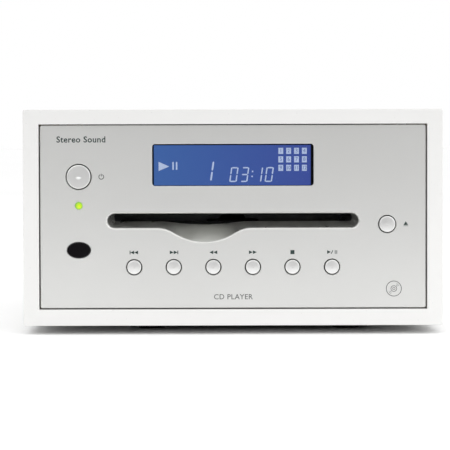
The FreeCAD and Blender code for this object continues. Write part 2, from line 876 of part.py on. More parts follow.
def motor_pinion():
    gap_angle = math.pi - slope + math.pi / pinion_teeth
    wheel = gear(pinion_teeth, gear_x1, gear_w, pinion_y, pinion_z, gap_angle)
    start = loader_motor_x1 - shaft_sink
    shaft = rod((start, pinion_y, pinion_z), X_AXIS, axle_r, gear_end - start)
    return wheel.fuse(shaft)


def loading_motor():
    start = loader_motor_x1 - loader_motor_l
    can = rod((start, pinion_y, pinion_z), X_AXIS, loader_motor_r, loader_motor_l)
    well = rod(
        (loader_motor_x1 - shaft_sink - fit_clear, pinion_y, pinion_z),
        X_AXIS, axle_r + run_clear, shaft_sink + fit_clear,
    )
    return can.cut(well)


def traverse_plate():
    """The plate that carries the turntable's motor and the pickup, hung on rubber dampers."""
    plate = box(traverse_x0, bar_end, traverse_y0, traverse_y1, traverse_z0, traverse_z1)
    optics = box(
        sled_x0, sled_x1 + sled_travel, spindle_y - optics_half_w - window_clear,
        spindle_y + optics_half_w + window_clear, traverse_z0, traverse_z1,
    )
    hub = rod((0, spindle_y, traverse_z0), Z_AXIS, hub_r + window_clear, traverse_t)
    over_motor = box(
        bar_x0 - sled_motor_l - window_clear, bar_x0, screw_y - sled_motor_r - window_clear,
        screw_y + sled_motor_r + window_clear, traverse_z0, traverse_z1,
    )
    pins = [rod((x, y, traverse_z0), Z_AXIS, damper_pin_r, traverse_t) for x, y in dampers]
    return plate.cut([optics, hub, over_motor] + pins)


def rubber_dampers():
    shapes = []
    for x, y in dampers:
        foot = rod((x, y, tray_floor), Z_AXIS, damper_r, traverse_z0 - tray_floor)
        shapes.append(foot.fuse(rod((x, y, traverse_z0), Z_AXIS, damper_pin_r, traverse_t)))
    return group(shapes)


def traverse_motors():
    """The disc's motor under the turntable and the one that turns the lead screw."""
    sink = shaft_sink + fit_clear
    can = rod((0, spindle_y, traverse_z0 - spindle_motor_h), Z_AXIS, spindle_motor_r, spindle_motor_h)
    can = can.cut(rod((0, spindle_y, traverse_z0 - sink), Z_AXIS, spindle_r + run_clear, sink))
    small = rod((bar_x0 - sled_motor_l, screw_y, rod_z), X_AXIS, sled_motor_r, sled_motor_l)
    small = small.cut(rod((bar_x0 - sink, screw_y, rod_z), X_AXIS, rod_r + run_clear, sink))
    return group([can, small])


def turntable():
    """The wheel that a disc sits on: a plate, the cone that centres the disc, and the motor's shaft."""
    plate = rod((0, spindle_y, turntable_z - turntable_t), Z_AXIS, turntable_r, turntable_t)
    cone = Part.makeCone(cone_r, cone_r - cone_taper, cone_h, Vector(0, spindle_y, turntable_z), Z_AXIS)
    hub = rod((0, spindle_y, traverse_z1), Z_AXIS, hub_r, turntable_z - turntable_t - traverse_z1)
    shaft = rod(
        (0, spindle_y, traverse_z0 - shaft_sink), Z_AXIS, spindle_r, traverse_t + shaft_sink
    )
    return plate.fuse([cone, hub, shaft])


def rod_brackets():
    """Two bars under the traverse plate that hold the guide rods and the lead screw."""
    rods = [rod((bar_x0, y, rod_z), X_AXIS, rod_r, bar_end - bar_x0) for y in rod_lines]
    turning = rod((bar_x0, screw_y, rod_z), X_AXIS, rod_r + run_clear, bar_end - bar_x0)
    shapes = []
    for x0 in (bar_x0, bar_x1):
        bar = box(
            x0, x0 + bar_t, rod_lines[0] - bar_t, screw_y + bar_t, rod_z - bar_t, traverse_z0
        )
        shapes.append(bar.cut(rods + [turning]))
    return group(shapes)


def steel_pins():
    """Plain rods fixed in the transport: the sled's two, the reduction gear's axle and the clamp's pin."""
    rods = [rod((bar_x0, y, rod_z), X_AXIS, rod_r, bar_end - bar_x0) for y in rod_lines]
    start = gear_x0 - gear_gap
    axle = rod((start, reduction_y, reduction_z), X_AXIS, axle_r, tray_x - sheet_t - start)
    return group(rods + [axle, clamp_pin()])


def lead_screw():
    return rod((bar_x0 - shaft_sink, screw_y, rod_z), X_AXIS, rod_r, bar_end - bar_x0 + shaft_sink)


def pickup_sled():
    """The carriage that rides on the two rods, with a nut on the lead screw and the optical block on top."""
    z0, z1 = rod_z - sled_h / 2, rod_z + sled_h / 2
    body = box(sled_x0, sled_x1, spindle_y - sled_half_w, screw_y + nut_half, z0, z1)
    half = sled_half_l - optics_margin
    optics = box(
        lens_first_r - half, lens_first_r + half, spindle_y - optics_half_w, spindle_y + optics_half_w,
        z1, z1 + optics_rise,
    )
    lines = rod_lines + [screw_y]
    bores = [rod((sled_x0, y, rod_z), X_AXIS, rod_r + run_clear, 2 * sled_half_l) for y in lines]
    return body.fuse(optics).cut(bores)


def pickup_lens():
    z0 = rod_z + sled_h / 2 + optics_rise
    return rod((lens_first_r, spindle_y, z0), Z_AXIS, lens_r, lens_rise)


def lifted(shape):
    """Turns a part of the clamp from its lowered place up to where it waits."""
    shape = shape.copy()
    shape.rotate(Vector(0, pivot_y, pivot_z), X_AXIS, -clamp_lift_deg)
    return shape


def clamp_arm():
    """The sheet arm over the turntable, with its rolled knuckle at the back and the puck's hole in front."""
    y0 = spindle_y - arm_half_w
    plate = box(-arm_half_w, arm_half_w, y0, pivot_y, arm_z0, arm_z1)
    knuckle = rod((-arm_half_w, pivot_y, pivot_z), X_AXIS, knuckle_r, 2 * arm_half_w)
    hole = rod((0, spindle_y, arm_z0), Z_AXIS, puck_neck_r + puck_neck_clear, sheet_t)
    bore = rod((-arm_half_w, pivot_y, pivot_z), X_AXIS, pivot_r + run_clear, 2 * arm_half_w)
    return lifted(plate.fuse(knuckle).cut([hole, bore]))


def clamp_puck():
    """The wheel that presses a disc down on the turntable, hollow over the cone."""
    body = rod((0, spindle_y, disc_rest_z), Z_AXIS, puck_r, puck_h)
    neck_top = arm_z1 + puck_neck_clear
    neck = rod((0, spindle_y, puck_top), Z_AXIS, puck_neck_r, neck_top - puck_top)
    cap = rod((0, spindle_y, neck_top), Z_AXIS, puck_cap_r, puck_cap_t)
    hollow = rod((0, spindle_y, disc_rest_z), Z_AXIS, puck_recess_r, puck_recess_h)
    return lifted(body.fuse([neck, cap]).cut(hollow))


def clamp_pin():
    half = lug_x0 + lug_t
    return rod((-half, pivot_y, pivot_z), X_AXIS, pivot_r, 2 * half)


# ---------------------------------------------------------------- boards, mains parts and rear panel
def main_board():
    return box(
        -main_board_w / 2, main_board_w / 2, main_board_y0, main_board_y1, main_board_z0, main_board_z1
    )


def capacitors():
    shapes = []
    height = tray_z0 - main_board_z1 - 2 * room_clear
    for n in range(cap_count):
        x = cap_first_x + n * cap_pitch
        shapes.append(rod((x, main_board_y0 + cap_inset, main_board_z1), Z_AXIS, cap_r, height))
    return group(shapes)


def power_transformer():
    """A ring core transformer, its edges rounded by the windings."""
    ring = rod((coil_x, coil_y, floor_z), Z_AXIS, coil_r, coil_h)
    rims = [e for e in ring.Edges if e.BoundBox.ZLength < tiny]
    ring = ring.makeFillet(coil_edge_r, rims)
    return ring.cut(rod((coil_x, coil_y, floor_z), Z_AXIS, coil_bore_r, coil_h))


def ribbon_cable():
    """A flat cable that runs under the tray from the control board to the main board."""
    y1 = main_board_y0 + ribbon_w / 2
    x0, z0 = ribbon_x - ribbon_w / 2, socket_z - ribbon_t / 2
    return box(x0, x0 + ribbon_w, board_y1, y1, z0, z0 + ribbon_t)


def rear_panel():
    """The plate that closes the back, with the sockets' holes and rows of air slots."""
    half = inner_x - rear_clear
    panel = box(-half, half, rear_y0, rear_y1, floor_z + rear_clear, ceiling_z - rear_clear)
    cutters = [rod((x, rear_y0, socket_z), Y_AXIS, jack_r + fit_clear, rear_t) for x in jacks]
    cutters.append(inlet_outline(rear_y0, rear_y1, inlet_body_w, inlet_body_h, fit_clear))
    cutters += [rod((x, rear_y0, z), Y_AXIS, rear_screw_r + fit_clear, rear_t) for x, z in rear_screws]
    for row in range(vent_rows):
        z = vent_z + row * vent_pitch
        for n in range(vent_count):
            x = (n - (vent_count - 1) / 2) * vent_step
            cutters.append(
                rounded_box(
                    x - vent_l / 2, x + vent_l / 2, rear_y0, rear_y1, z - vent_h / 2, z + vent_h / 2,
                    vent_h / 2 - tiny, Y_AXIS,
                )
            )
    return panel.cut(cutters)


def inlet_outline(y0, y1, width, height, grow):
    """A long rounded shape round the inlet's centre."""
    half_w, half_h = width / 2 + grow, height / 2 + grow
    return rounded_box(
        inlet_x - half_w, inlet_x + half_w, y0, y1, socket_z - half_h, socket_z + half_h,
        half_h - tiny, Y_AXIS,
    )


def power_inlet():
    """The two pin mains inlet: a body through the rear panel, a lip outside it and the hole for the plug."""
    face_y = rear_y1 + inlet_lip_t
    bottom_y = face_y - inlet_hole_d
    body = inlet_outline(face_y - inlet_body_d, face_y, inlet_body_w, inlet_body_h, 0)
    lip = inlet_outline(rear_y1, face_y, inlet_body_w, inlet_body_h, inlet_lip)
    hole = inlet_outline(bottom_y, face_y, inlet_hole_w, inlet_hole_h, 0)
    pins = []
    for side in (-1, 1):
        x = inlet_x + side * inlet_pin_pitch / 2
        pins.append(rod((x, bottom_y, socket_z), Y_AXIS, inlet_pin_r, inlet_hole_d - inlet_pin_back))
    return body.fuse(lip).cut(hole).fuse(pins)


def jack_barrel(x):
    """The metal sleeve of an output socket, with the flange that rests on the rear panel."""
    sleeve = rod((x, rear_y0, socket_z), Y_AXIS, jack_r, rear_t + jack_reach)
    flange = rod((x, rear_y1, socket_z), Y_AXIS, jack_flange_r, jack_flange_t)
    bore = rod((x, rear_y0, socket_z), Y_AXIS, jack_r - jack_wall, rear_t + jack_reach)
    return sleeve.fuse(flange).cut(bore)


def jack_block():
    """The moulded block on the main board with the insert of each output socket."""
    half = jack_block_w / 2
    middle = sum(jacks) / 2
    y0 = rear_y0 - jack_block_d
    block = box(middle - half, middle + half, y0, rear_y0, main_board_z1, main_board_z1 + jack_block_h)
    reach = rear_y1 + jack_reach - jack_lip
    inserts = [rod((x, rear_y0, socket_z), Y_AXIS, jack_r - jack_wall, reach - rear_y0) for x in jacks]
    bores = [rod((x, rear_y0, socket_z), Y_AXIS, jack_pin_bore_r, reach - rear_y0) for x in jacks]
    return block.fuse(inserts).cut(bores)


def screw(x, z, y0, radius, bite, head_r):
    """A slotted screw driven in towards the front, its head resting on the plane at y0."""
    head = rod((x, y0, z), Y_AXIS, head_r, screw_head_t)
    shank = rod((x, y0 - bite, z), Y_AXIS, radius, bite)
    face = y0 + screw_head_t - driver_slot
    slot = box(x - head_r, x + head_r, face, face + driver_slot, z - driver_slot / 2, z + driver_slot / 2)
    return head.fuse(shank).cut(slot)


def case_screws():
    """Six screws from the subframe into the front panel and four from the rear panel into the cleats."""
    front_bite = subframe_t + screw_bite
    shapes = [screw(x, z, subframe_y1, screw_r, front_bite, screw_head_r) for x, z in panel_screws]
    for x, z in rear_screws:
        shapes.append(screw(x, z, rear_y1, rear_screw_r, rear_t + rear_screw_bite, rear_screw_head_r))
    return group(shapes)


# ---------------------------------------------------------------- the player
def player():
    tube = cabinet_tube()
    parts = {
        "cabinet_%s_board" % side: cabinet_board(tube, side) for side in ("top", "bottom", "left", "right")
    }
    parts.update({
        "corner_cleats": corner_cleats(),
        "base_plinth": base_plinth(),
        "foot_pads": foot_pads(),
        "front_panel": front_panel(),
        "front_subframe": front_subframe(),
        "case_screws": case_screws(),
        "display_window": lens_box(panel_y1, lens_y1),
        "display_mask": display_mask(),
        "lcd_glass": lens_box(mask_y1, lcd_y1),
        "lcd_backlight": lens_box(lcd_y1, board_y0),
        "slot_funnel": slot_funnel(),
        "felt_strips": felt_strips(),
        "control_board": control_board(),
        "tact_switches": tact_switches(),
        "status_led": status_led(),
        "ir_window": ir_window(),
        "ir_receiver": ir_receiver(),
        "transport_tray": transport_tray(),
        "transport_cover": transport_cover(),
        "support_pillars": support_pillars(),
        "disc_guide": disc_guide(),
        "feed_roller": feed_roller(),
        "roller_shaft": roller_shaft(),
        "roller_gear": roller_gear(),
        "loader_mounts": loader_mounts(),
        "reduction_gear": reduction_gear(),
        "motor_pinion": motor_pinion(),
        "loading_motor": loading_motor(),
        "traverse_plate": traverse_plate(),
        "rubber_dampers": rubber_dampers(),
        "traverse_motors": traverse_motors(),
        "turntable": turntable(),
        "rod_brackets": rod_brackets(),
        "steel_pins": steel_pins(),
        "lead_screw": lead_screw(),
        "pickup_sled": pickup_sled(),
        "pickup_lens": pickup_lens(),
        "clamp_arm": clamp_arm(),
        "clamp_puck": clamp_puck(),
        "main_board": main_board(),
        "capacitors": capacitors(),
        "power_transformer": power_transformer(),
        "ribbon_cable": ribbon_cable(),
        "rear_panel": rear_panel(),
        "power_inlet": power_inlet(),
        "jack_block": jack_block(),
        "jack_barrels": group([jack_barrel(x) for x in jacks]),
    })
    for name in keys:
        parts[name + "_button"] = key(name)
    return parts


def main():
    os.makedirs("parts", exist_ok=True)
    for name, shape in player().items():
        shape.exportStep("parts/%s.step" % name)


main()
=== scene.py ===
"""The looks of a compact slot-loading disc player: finishes, printed marks, display, trim and stage.

Metres. X runs to the right as seen from the front, Y to the back and Z up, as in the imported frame.
"""
import bpy
import bmesh
import math
from bpy.props import FloatProperty, FloatVectorProperty, IntProperty, PointerProperty, StringProperty
from bpy.types import Operator, Panel, PropertyGroup
from mathutils import Matrix, Vector


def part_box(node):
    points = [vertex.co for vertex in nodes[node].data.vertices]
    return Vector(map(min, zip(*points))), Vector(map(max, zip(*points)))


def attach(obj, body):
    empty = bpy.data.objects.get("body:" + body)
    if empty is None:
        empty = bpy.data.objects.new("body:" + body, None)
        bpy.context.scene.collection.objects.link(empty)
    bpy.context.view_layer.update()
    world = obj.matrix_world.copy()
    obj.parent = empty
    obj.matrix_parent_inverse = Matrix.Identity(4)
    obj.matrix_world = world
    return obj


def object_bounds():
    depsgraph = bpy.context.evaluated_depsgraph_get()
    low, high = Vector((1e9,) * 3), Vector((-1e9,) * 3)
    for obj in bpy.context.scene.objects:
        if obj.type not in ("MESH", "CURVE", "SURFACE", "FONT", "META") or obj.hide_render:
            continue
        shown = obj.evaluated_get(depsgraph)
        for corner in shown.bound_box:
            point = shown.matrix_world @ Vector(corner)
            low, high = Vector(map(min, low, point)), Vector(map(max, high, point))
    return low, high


bl_info = {
    "name": "Compact Disc Player",
    "version": (1, 0, 0),
    "blender": (4, 5, 0),
    "location": "View3D > Sidebar > Disc Player",
    "description": "Finishes, marks, display and stage of a compact slot-loading disc player",
    "category": "Object",
}

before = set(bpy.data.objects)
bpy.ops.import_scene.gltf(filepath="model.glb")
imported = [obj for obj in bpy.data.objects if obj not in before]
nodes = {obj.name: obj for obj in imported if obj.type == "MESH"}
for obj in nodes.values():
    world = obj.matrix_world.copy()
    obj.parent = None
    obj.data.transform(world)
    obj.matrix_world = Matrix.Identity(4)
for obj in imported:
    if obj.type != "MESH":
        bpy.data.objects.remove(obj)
cad_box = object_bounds()
mm = 0.001
micron = 0.000001

ROOT = "player"
TRANSPORT_KEYS = ("skip_back", "skip_forward", "rewind", "fast_forward", "stop", "play_pause")
ALL_KEYS = TRANSPORT_KEYS + ("power", "eject")


# ---- settings
def colour(name, text, default):
    return FloatVectorProperty(
        name=name, description=text, default=default, size=3, subtype="COLOR", min=0.0, max=1.0
    )


def length(name, text, default):
    return FloatProperty(name=name, description=text, default=default, unit="LENGTH", subtype="DISTANCE")


def share(name, text, default, high=1.0):
    return FloatProperty(name=name, description=text, default=default, min=0.0, max=high)


def tilt(name, text, degrees):
    return FloatProperty(
        name=name, description=text, default=math.radians(degrees), subtype="ANGLE", unit="ROTATION"
    )


class CabinetSettings(PropertyGroup):
    lacquer: colour("Lacquer", "Colour of the lacquer on the cabinet", (0.77, 0.767, 0.757))
    lacquer_roughness: share("Roughness", "How matt the lacquer is", 0.48)
    peel: length("Orange peel", "Depth of the ripple that spraying leaves in the lacquer", 0.000012)
    timber: colour("Blocks", "Colour of the bare wood inside", (0.42, 0.27, 0.14))
    base: colour("Base", "Colour of the painted base", (0.006, 0.006, 0.007))


class PanelSettings(PropertyGroup):
    silver: colour("Silver", "Colour of the front panel", (0.78, 0.78, 0.765))
    silver_roughness: share("Roughness", "How matt the front panel is", 0.42)
    print_colour: colour("Print", "Colour of the small printed marks", (0.012, 0.032, 0.028))
    pale_print: colour("Pale print", "Colour of the fainter printed marks", (0.10, 0.105, 0.10))
    print_thickness: length("Print thickness", "How far the printed marks stand out", 0.00003)
    word: StringProperty(name="Word", description="Word at the panel's upper left", default="Stereo Sound")
    lower_word: StringProperty(name="Lower word", description="Words low on the panel", default="CD PLAYER")


class DisplaySettings(PropertyGroup):
    lit: colour("Lit blue", "Colour of the display", (0.045, 0.125, 0.37))
    symbols: colour("Symbols", "Colour of the display's symbols", (0.33, 0.40, 0.55))
    glow: share("Glow", "Strength of the display's light", 1.0, 10.0)
    track: IntProperty(name="Track", description="Track number shown", default=1, min=0, max=9)
    clock: StringProperty(name="Time", description="Playing time shown", default="03:10")
    slant: tilt("Slant", "Lean of the digits", 8)


class TrimSettings(PropertyGroup):
    key_silver: colour("Keys", "Colour of the keys", (0.88, 0.88, 0.87))
    lamp: colour("Lamp", "Colour of the lit lamp", (0.62, 0.95, 0.02))
    funnel: colour("Slot", "Colour of the throat inside the disc slot", (0.62, 0.625, 0.60))


class StageSettings(PropertyGroup):
    distance: length("Distance", "From the camera to the cabinet's front", 1.0)
    height: length("Height", "Height of the camera above the floor", 0.110)
    side: length("Side", "How far the camera stands to the right of the player's middle", -0.004)
    pitch: tilt("Pitch", "How far the camera looks down", 1.55)
    roll: tilt("Roll", "Turn of the camera about its own axis", -0.15)
    lens: FloatProperty(name="Lens", description="Focal length in millimetres", default=158.1)
    shift: FloatProperty(name="Shift", description="Upward shift of the view, in frame widths", default=-0.12)
    floor: length("Floor", "Width of the table top", 12.0)
    table_front: length("Table front", "How far the table top reaches in front of the player", 0.37)
    floor_glow: share("Floor glow", "Light of the table top's own, as from a lit table", 0.005)
    top_light: share("Top light", "Light from straight overhead", 1.58, 10.0)
    horizon_light: share("Horizon light", "Light from the horizon", 0.12, 10.0)
    window_power: share("Window light", "Power of the soft light at the right, in watts", 4.8, 100.0)
    fill_power: share("Fill light", "Power of the soft light at the left, in watts", 3.0, 100.0)
    right_edge_power: share("Right edge light", "Power of the low light at the right, in watts", 0.7, 100.0)
    left_edge_power: share("Left edge light", "Power of the low light at the left, in watts", 0.4, 100.0)


# ---- finishes
def shader_of(name):
    """A new material: its node tree, its shader and the object's own coordinates."""
    material = bpy.data.materials.new(name)
    material.use_nodes = True
    tree = material.node_tree
    place = tree.nodes.new("ShaderNodeTexCoord").outputs["Object"]
    return material, tree, tree.nodes["Principled BSDF"], place


def put(tree, socket, value):
    """Sets an input to a number, a colour of three parts or another node's output."""
    if isinstance(value, bpy.types.NodeSocket):
        tree.links.new(value, socket)
    else:
        socket.default_value = (*value, 1.0) if socket.type == "RGBA" else value


def feed(tree, node, **inputs):
    """Sets a node's inputs by name, where an underscore stands for a space."""
    for name, value in inputs.items():
        put(tree, node.inputs[name.replace("_", " ")], value)


def add_node(tree, kind, **inputs):
    node = tree.nodes.new("ShaderNode" + kind)
    feed(tree, node, **inputs)
    return node


def vector_math(tree, operation, vector, other):
    node = add_node(tree, "VectorMath", Vector=vector)
    node.operation = operation
    node.inputs[1].default_value = other
    return node.outputs


def noise(tree, place, size, detail=2.0, stretch=(1, 1, 1)):
    """Noise whose blotches are about size metres across, drawn out along an axis where stretch is small."""
    vector = add_node(tree, "Mapping", Scale=stretch, Vector=place).outputs["Vector"]
    return add_node(tree, "TexNoise", Scale=1.0 / size, Detail=detail, Vector=vector).outputs["Fac"]


def spread(tree, value, low, high, start=0.3, end=0.7):
    """Maps a texture's middle range to low..high."""
    node = add_node(tree, "MapRange", From_Min=start, From_Max=end, To_Min=low, To_Max=high, Value=value)
    return node.outputs["Result"]


def blend_colours(tree, amount, first, second):
    """Mixes two colours, each given as numbers or as another node's output."""
    node = add_node(tree, "Mix", Factor=amount)
    node.data_type = "RGBA"
    put(tree, node.inputs[6], first)
    put(tree, node.inputs[7], second)
    return node.outputs[2]


def bump(tree, value, depth, under=None):
    """Relief of the given depth in metres, laid over another relief if there is one."""
    node = add_node(tree, "Bump", Distance=depth, Strength=1.0, Height=value)
    if under is not None:
        feed(tree, node, Normal=under)
    return node.outputs["Normal"]


def darker(tint, factor):
    return tuple(c * factor for c in tint)


def shifted(tint, shares):
    """The colour with each part of it multiplied by its own share."""
    return tuple(c * part for c, part in zip(tint, shares))


def finish(name, tint, roughness, metallic=0.0, grain=400 * micron, depth=4 * micron, drift=0.06,
           gloss_drift=0.08, stretch=(1, 1, 1), coat=0.0, specular=0.5):
    """A surface with its own grain: fine bump, and slow drifts in colour and gloss.

    grain is the size of the finest texture and depth its height, both in metres.
    """
    slow_grains = 40
    grain_shadow = 0.6
    smoothest = 0.02
    coat_roughness = 0.1
    material, tree, shader, place = shader_of(name)
    slow = noise(tree, place, grain * slow_grains, 3.0, stretch)
    fine = noise(tree, place, grain, 2.0, stretch)
    shade = blend_colours(tree, spread(tree, slow, 0, 1), darker(tint, 1 - drift), tint)
    shade = blend_colours(tree, spread(tree, fine, 0, drift), shade, darker(tint, grain_shadow))
    gloss = spread(tree, slow, max(roughness - gloss_drift, smoothest), roughness + gloss_drift)
    feed(tree, shader, Base_Color=shade, Roughness=gloss, Normal=bump(tree, fine, depth), Metallic=metallic,
         Coat_Weight=coat, Coat_Roughness=coat_roughness, Specular_IOR_Level=specular)
    return material


def print_ink(name, tint):
    return finish(name, tuple(tint), 0.6, depth=2 * micron, grain=200 * micron)


def dress(names, material):
    """Gives nodes of the frame, named with spaces between, a material."""
    for name in names.split():
        mesh = nodes[name].data
        mesh.materials.clear()
        mesh.materials.append(material)


def dress_all(rows):
    """Gives nodes plain finishes.

    A row has nodes, finish, colour, roughness, metal, size and depth of the grain in microns, and the rest.
    """
    for names, title, tint, roughness, metal, grain, depth, others in rows:
        dress(names, finish(title, tint, roughness, metal, grain * micron, depth * micron, **others))


def glowing(material, tint, strength):
    """Adds a light of its own to a material."""
    tree = material.node_tree
    feed(tree, tree.nodes["Principled BSDF"], Emission_Color=tint, Emission_Strength=strength)
    return material


# ---- shapes
def add_object(name, data):
    thing = bpy.data.objects.new(name, data)
    bpy.context.scene.collection.objects.link(thing)
    return thing


def add_piece(name, shape, material, body=ROOT):
    """Puts a mesh, or shapes still being drawn, in the scene, in place and riding on a body of the frame."""
    mesh = mesh_from(name, shape) if isinstance(shape, bmesh.types.BMesh) else shape
    mesh.materials.append(material)
    piece = add_object(name, mesh)
    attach(piece, body)
    return piece


def prism(edit, outline, y0, y1):
    """A flat shape given as (x, z) points, pushed back from y0 to y1."""
    near = [edit.verts.new((x, y0, z)) for x, z in outline]
    far = [edit.verts.new((x, y1, z)) for x, z in outline]
    edit.faces.new(near)
    edit.faces.new(far[::-1])
    count = len(outline)
    for n in range(count):
        after = (n + 1) % count
        edit.faces.new((near[after], near[n], far[n], far[after]))


def band(edit, x, z, outer, inner, y0, y1, start=0.0, turn=2 * math.pi, steps=48):
    """A flat ring, or part of one, about (x, z)."""
    closed = abs(turn - 2 * math.pi) < 1e-6
    corners = ((outer, y0), (outer, y1), (inner, y1), (inner, y0))
    rows = []
    for n in range(steps if closed else steps + 1):
        angle = start + turn * n / steps
        c, s = math.cos(angle), math.sin(angle)
        rows.append([edit.verts.new((x + radius * c, y, z + radius * s)) for radius, y in corners])
    last = len(rows) if closed else len(rows) - 1
    for n in range(last):
        here, there = rows[n], rows[(n + 1) % len(rows)]
        for k in range(len(corners)):
            after = (k + 1) % len(corners)
            edit.faces.new((here[k], here[after], there[after], there[k]))
    if not closed:
        edit.faces.new(rows[0][::-1])
        edit.faces.new(rows[-1])


def lathe(edit, x, z, profile, steps=40):
    """A round piece about a line along Y through (x, z).

    profile is a list of (radius, y), and its first and last circles are closed with a flat face.
    """
    angles = [2 * math.pi * n / steps for n in range(steps)]
    rows = []
    for radius, y in profile:
        rows.append([edit.verts.new((x + radius * math.cos(a), y, z + radius * math.sin(a))) for a in angles])
    for near, far in zip(rows, rows[1:]):
        for n in range(steps):
            after = (n + 1) % steps
            edit.faces.new((near[n], near[after], far[after], far[n]))
    edit.faces.new(rows[0])
    edit.faces.new(rows[-1])


def mesh_from(name, edit):
    """Turns the shapes drawn in edit into a mesh, with its faces turned outwards."""
    bmesh.ops.recalc_face_normals(edit, faces=edit.faces)
    mesh = bpy.data.meshes.new(name)
    edit.to_mesh(mesh)
    edit.free()
    return mesh


def lettering(name, text, size, x, z, y, thickness, align="CENTER", facing_back=False, spacing=1.0,
              weight=0.0):
    """Plain letters as a thin solid, on a wall that faces the front, or the back.

    weight thickens the strokes, as a share of the letters' size.
    """
    curve = bpy.data.curves.new(name, "FONT")
    curve.body = text
    curve.size = size
    curve.align_x = align
    curve.align_y = "CENTER"
    curve.space_character = spacing
    curve.extrude = thickness / 2
    curve.offset = weight * size
    curve.resolution_u = 3
    holder = add_object(name + "_outline", curve)
    bpy.context.view_layer.update()
    mesh = bpy.data.meshes.new_from_object(holder.evaluated_get(bpy.context.evaluated_depsgraph_get()))
    bpy.data.objects.remove(holder)
    bpy.data.curves.remove(curve)
    upright = Matrix.Rotation(math.radians(90), 4, "X")
    turned = Matrix.Rotation(math.pi if facing_back else 0.0, 4, "Z")
    mesh.transform(Matrix.Translation((x, y, z)) @ turned @ upright)
    mesh.name = name
    return mesh


# ---- cabinet, base and feet
class PLAYER_OT_cabinet(Operator):
    """Lacquers the four boards and gives the glue blocks bare wood"""

    bl_idname = "player.cabinet"
    bl_label = "Cabinet"

    cloud_size = 0.09
    cloud_range = (0.2, 0.8)
    cloud_shade = 0.985
    gloss_swing = 0.02
    speck_size = 1.1 * mm
    speck_range = (0.74, 0.8)
    speck_shade = 0.9
    ripple_size = 2.2 * mm
    dust_size = 0.4 * mm
    dust_share = 0.12
    sheen = 0.18

    def execute(self, context):
        settings = context.scene.player_cabinet
        boards = "cabinet_top_board cabinet_bottom_board cabinet_left_board cabinet_right_board"
        dress(boards, self.lacquer(settings))
        timber = finish(
            "bare_wood", tuple(settings.timber), 0.7, grain=600 * micron, depth=30 * micron, drift=0.3,
            stretch=(1, 0.08, 1),
        )
        dress("corner_cleats", timber)
        return {"FINISHED"}

    def lacquer(self, settings):
        """Sprayed satin lacquer: a soft ripple and a slightly uneven gloss."""
        material, tree, shader, place = shader_of("white_lacquer")
        tint = tuple(settings.lacquer)
        cloud = noise(tree, place, self.cloud_size, 2.0)
        shade = blend_colours(
            tree, spread(tree, cloud, 0, 1, *self.cloud_range), darker(tint, self.cloud_shade), tint
        )
        speck = noise(tree, place, self.speck_size, 1.0)
        shade = blend_colours(
            tree, spread(tree, speck, 0, 1, *self.speck_range), shade, darker(tint, self.speck_shade)
        )
        rough = settings.lacquer_roughness
        gloss = spread(tree, cloud, rough - self.gloss_swing, rough + self.gloss_swing, *self.cloud_range)
        ripple = bump(tree, noise(tree, place, self.ripple_size, 1.0), settings.peel)
        dust = noise(tree, place, self.dust_size, 2.0)
        dust = bump(tree, dust, settings.peel * self.dust_share, under=ripple)
        feed(tree, shader, Base_Color=shade, Roughness=gloss, Normal=dust, Specular_IOR_Level=self.sheen)
        return material


class PLAYER_OT_base(Operator):
    """Paints the base and gives the pads their rubber"""

    bl_idname = "player.base"
    bl_label = "Base and feet"

    def execute(self, context):
        settings = context.scene.player_cabinet
        paint = finish("black_base_paint", tuple(settings.base), 0.75, depth=10 * micron, specular=0.2)
        rubber = finish("foot_rubber", (0.012, 0.012, 0.012), 0.85, depth=20 * micron, specular=0.2)
        dress("base_plinth", paint)
        dress("foot_pads", rubber)
        return {"FINISHED"}


# ---- front panel
class PLAYER_OT_panel(Operator):
    """Gives the front panel its fine blasted silver and the frame behind it black moulding"""

    bl_idname = "player.panel"
    bl_label = "Front panel"

    cloud_size = 0.06
    cloud_shade = 0.98
    grain_size = 160 * micron
    grain_depth = 4 * micron
    grain_share = 0.10
    grain_shade = 0.6
    gloss_below = 0.06
    gloss_above = 0.08
    metal = 0.85

    def execute(self, context):
        settings = context.scene.player_panel
        tint = tuple(settings.silver)
        material, tree, shader, place = shader_of("blasted_silver")
        cloud = noise(tree, place, self.cloud_size, 2.0)
        grain = noise(tree, place, self.grain_size, 3.0)
        shade = blend_colours(tree, spread(tree, cloud, 0, 1), darker(tint, self.cloud_shade), tint)
        shade = blend_colours(
            tree, spread(tree, grain, 0, self.grain_share), shade, darker(tint, self.grain_shade)
        )
        rough = settings.silver_roughness
        gloss = spread(tree, grain, rough - self.gloss_below, rough + self.gloss_above)
        relief = bump(tree, grain, self.grain_depth)
        feed(tree, shader, Base_Color=shade, Roughness=gloss, Normal=relief, Metallic=self.metal)
        dress("front_panel", material)
        moulding = finish("black_moulding", (0.012, 0.012, 0.013), 0.6, depth=10 * micron, specular=0.3)
        dress("front_subframe rod_brackets loader_mounts", moulding)
        return {"FINISHED"}


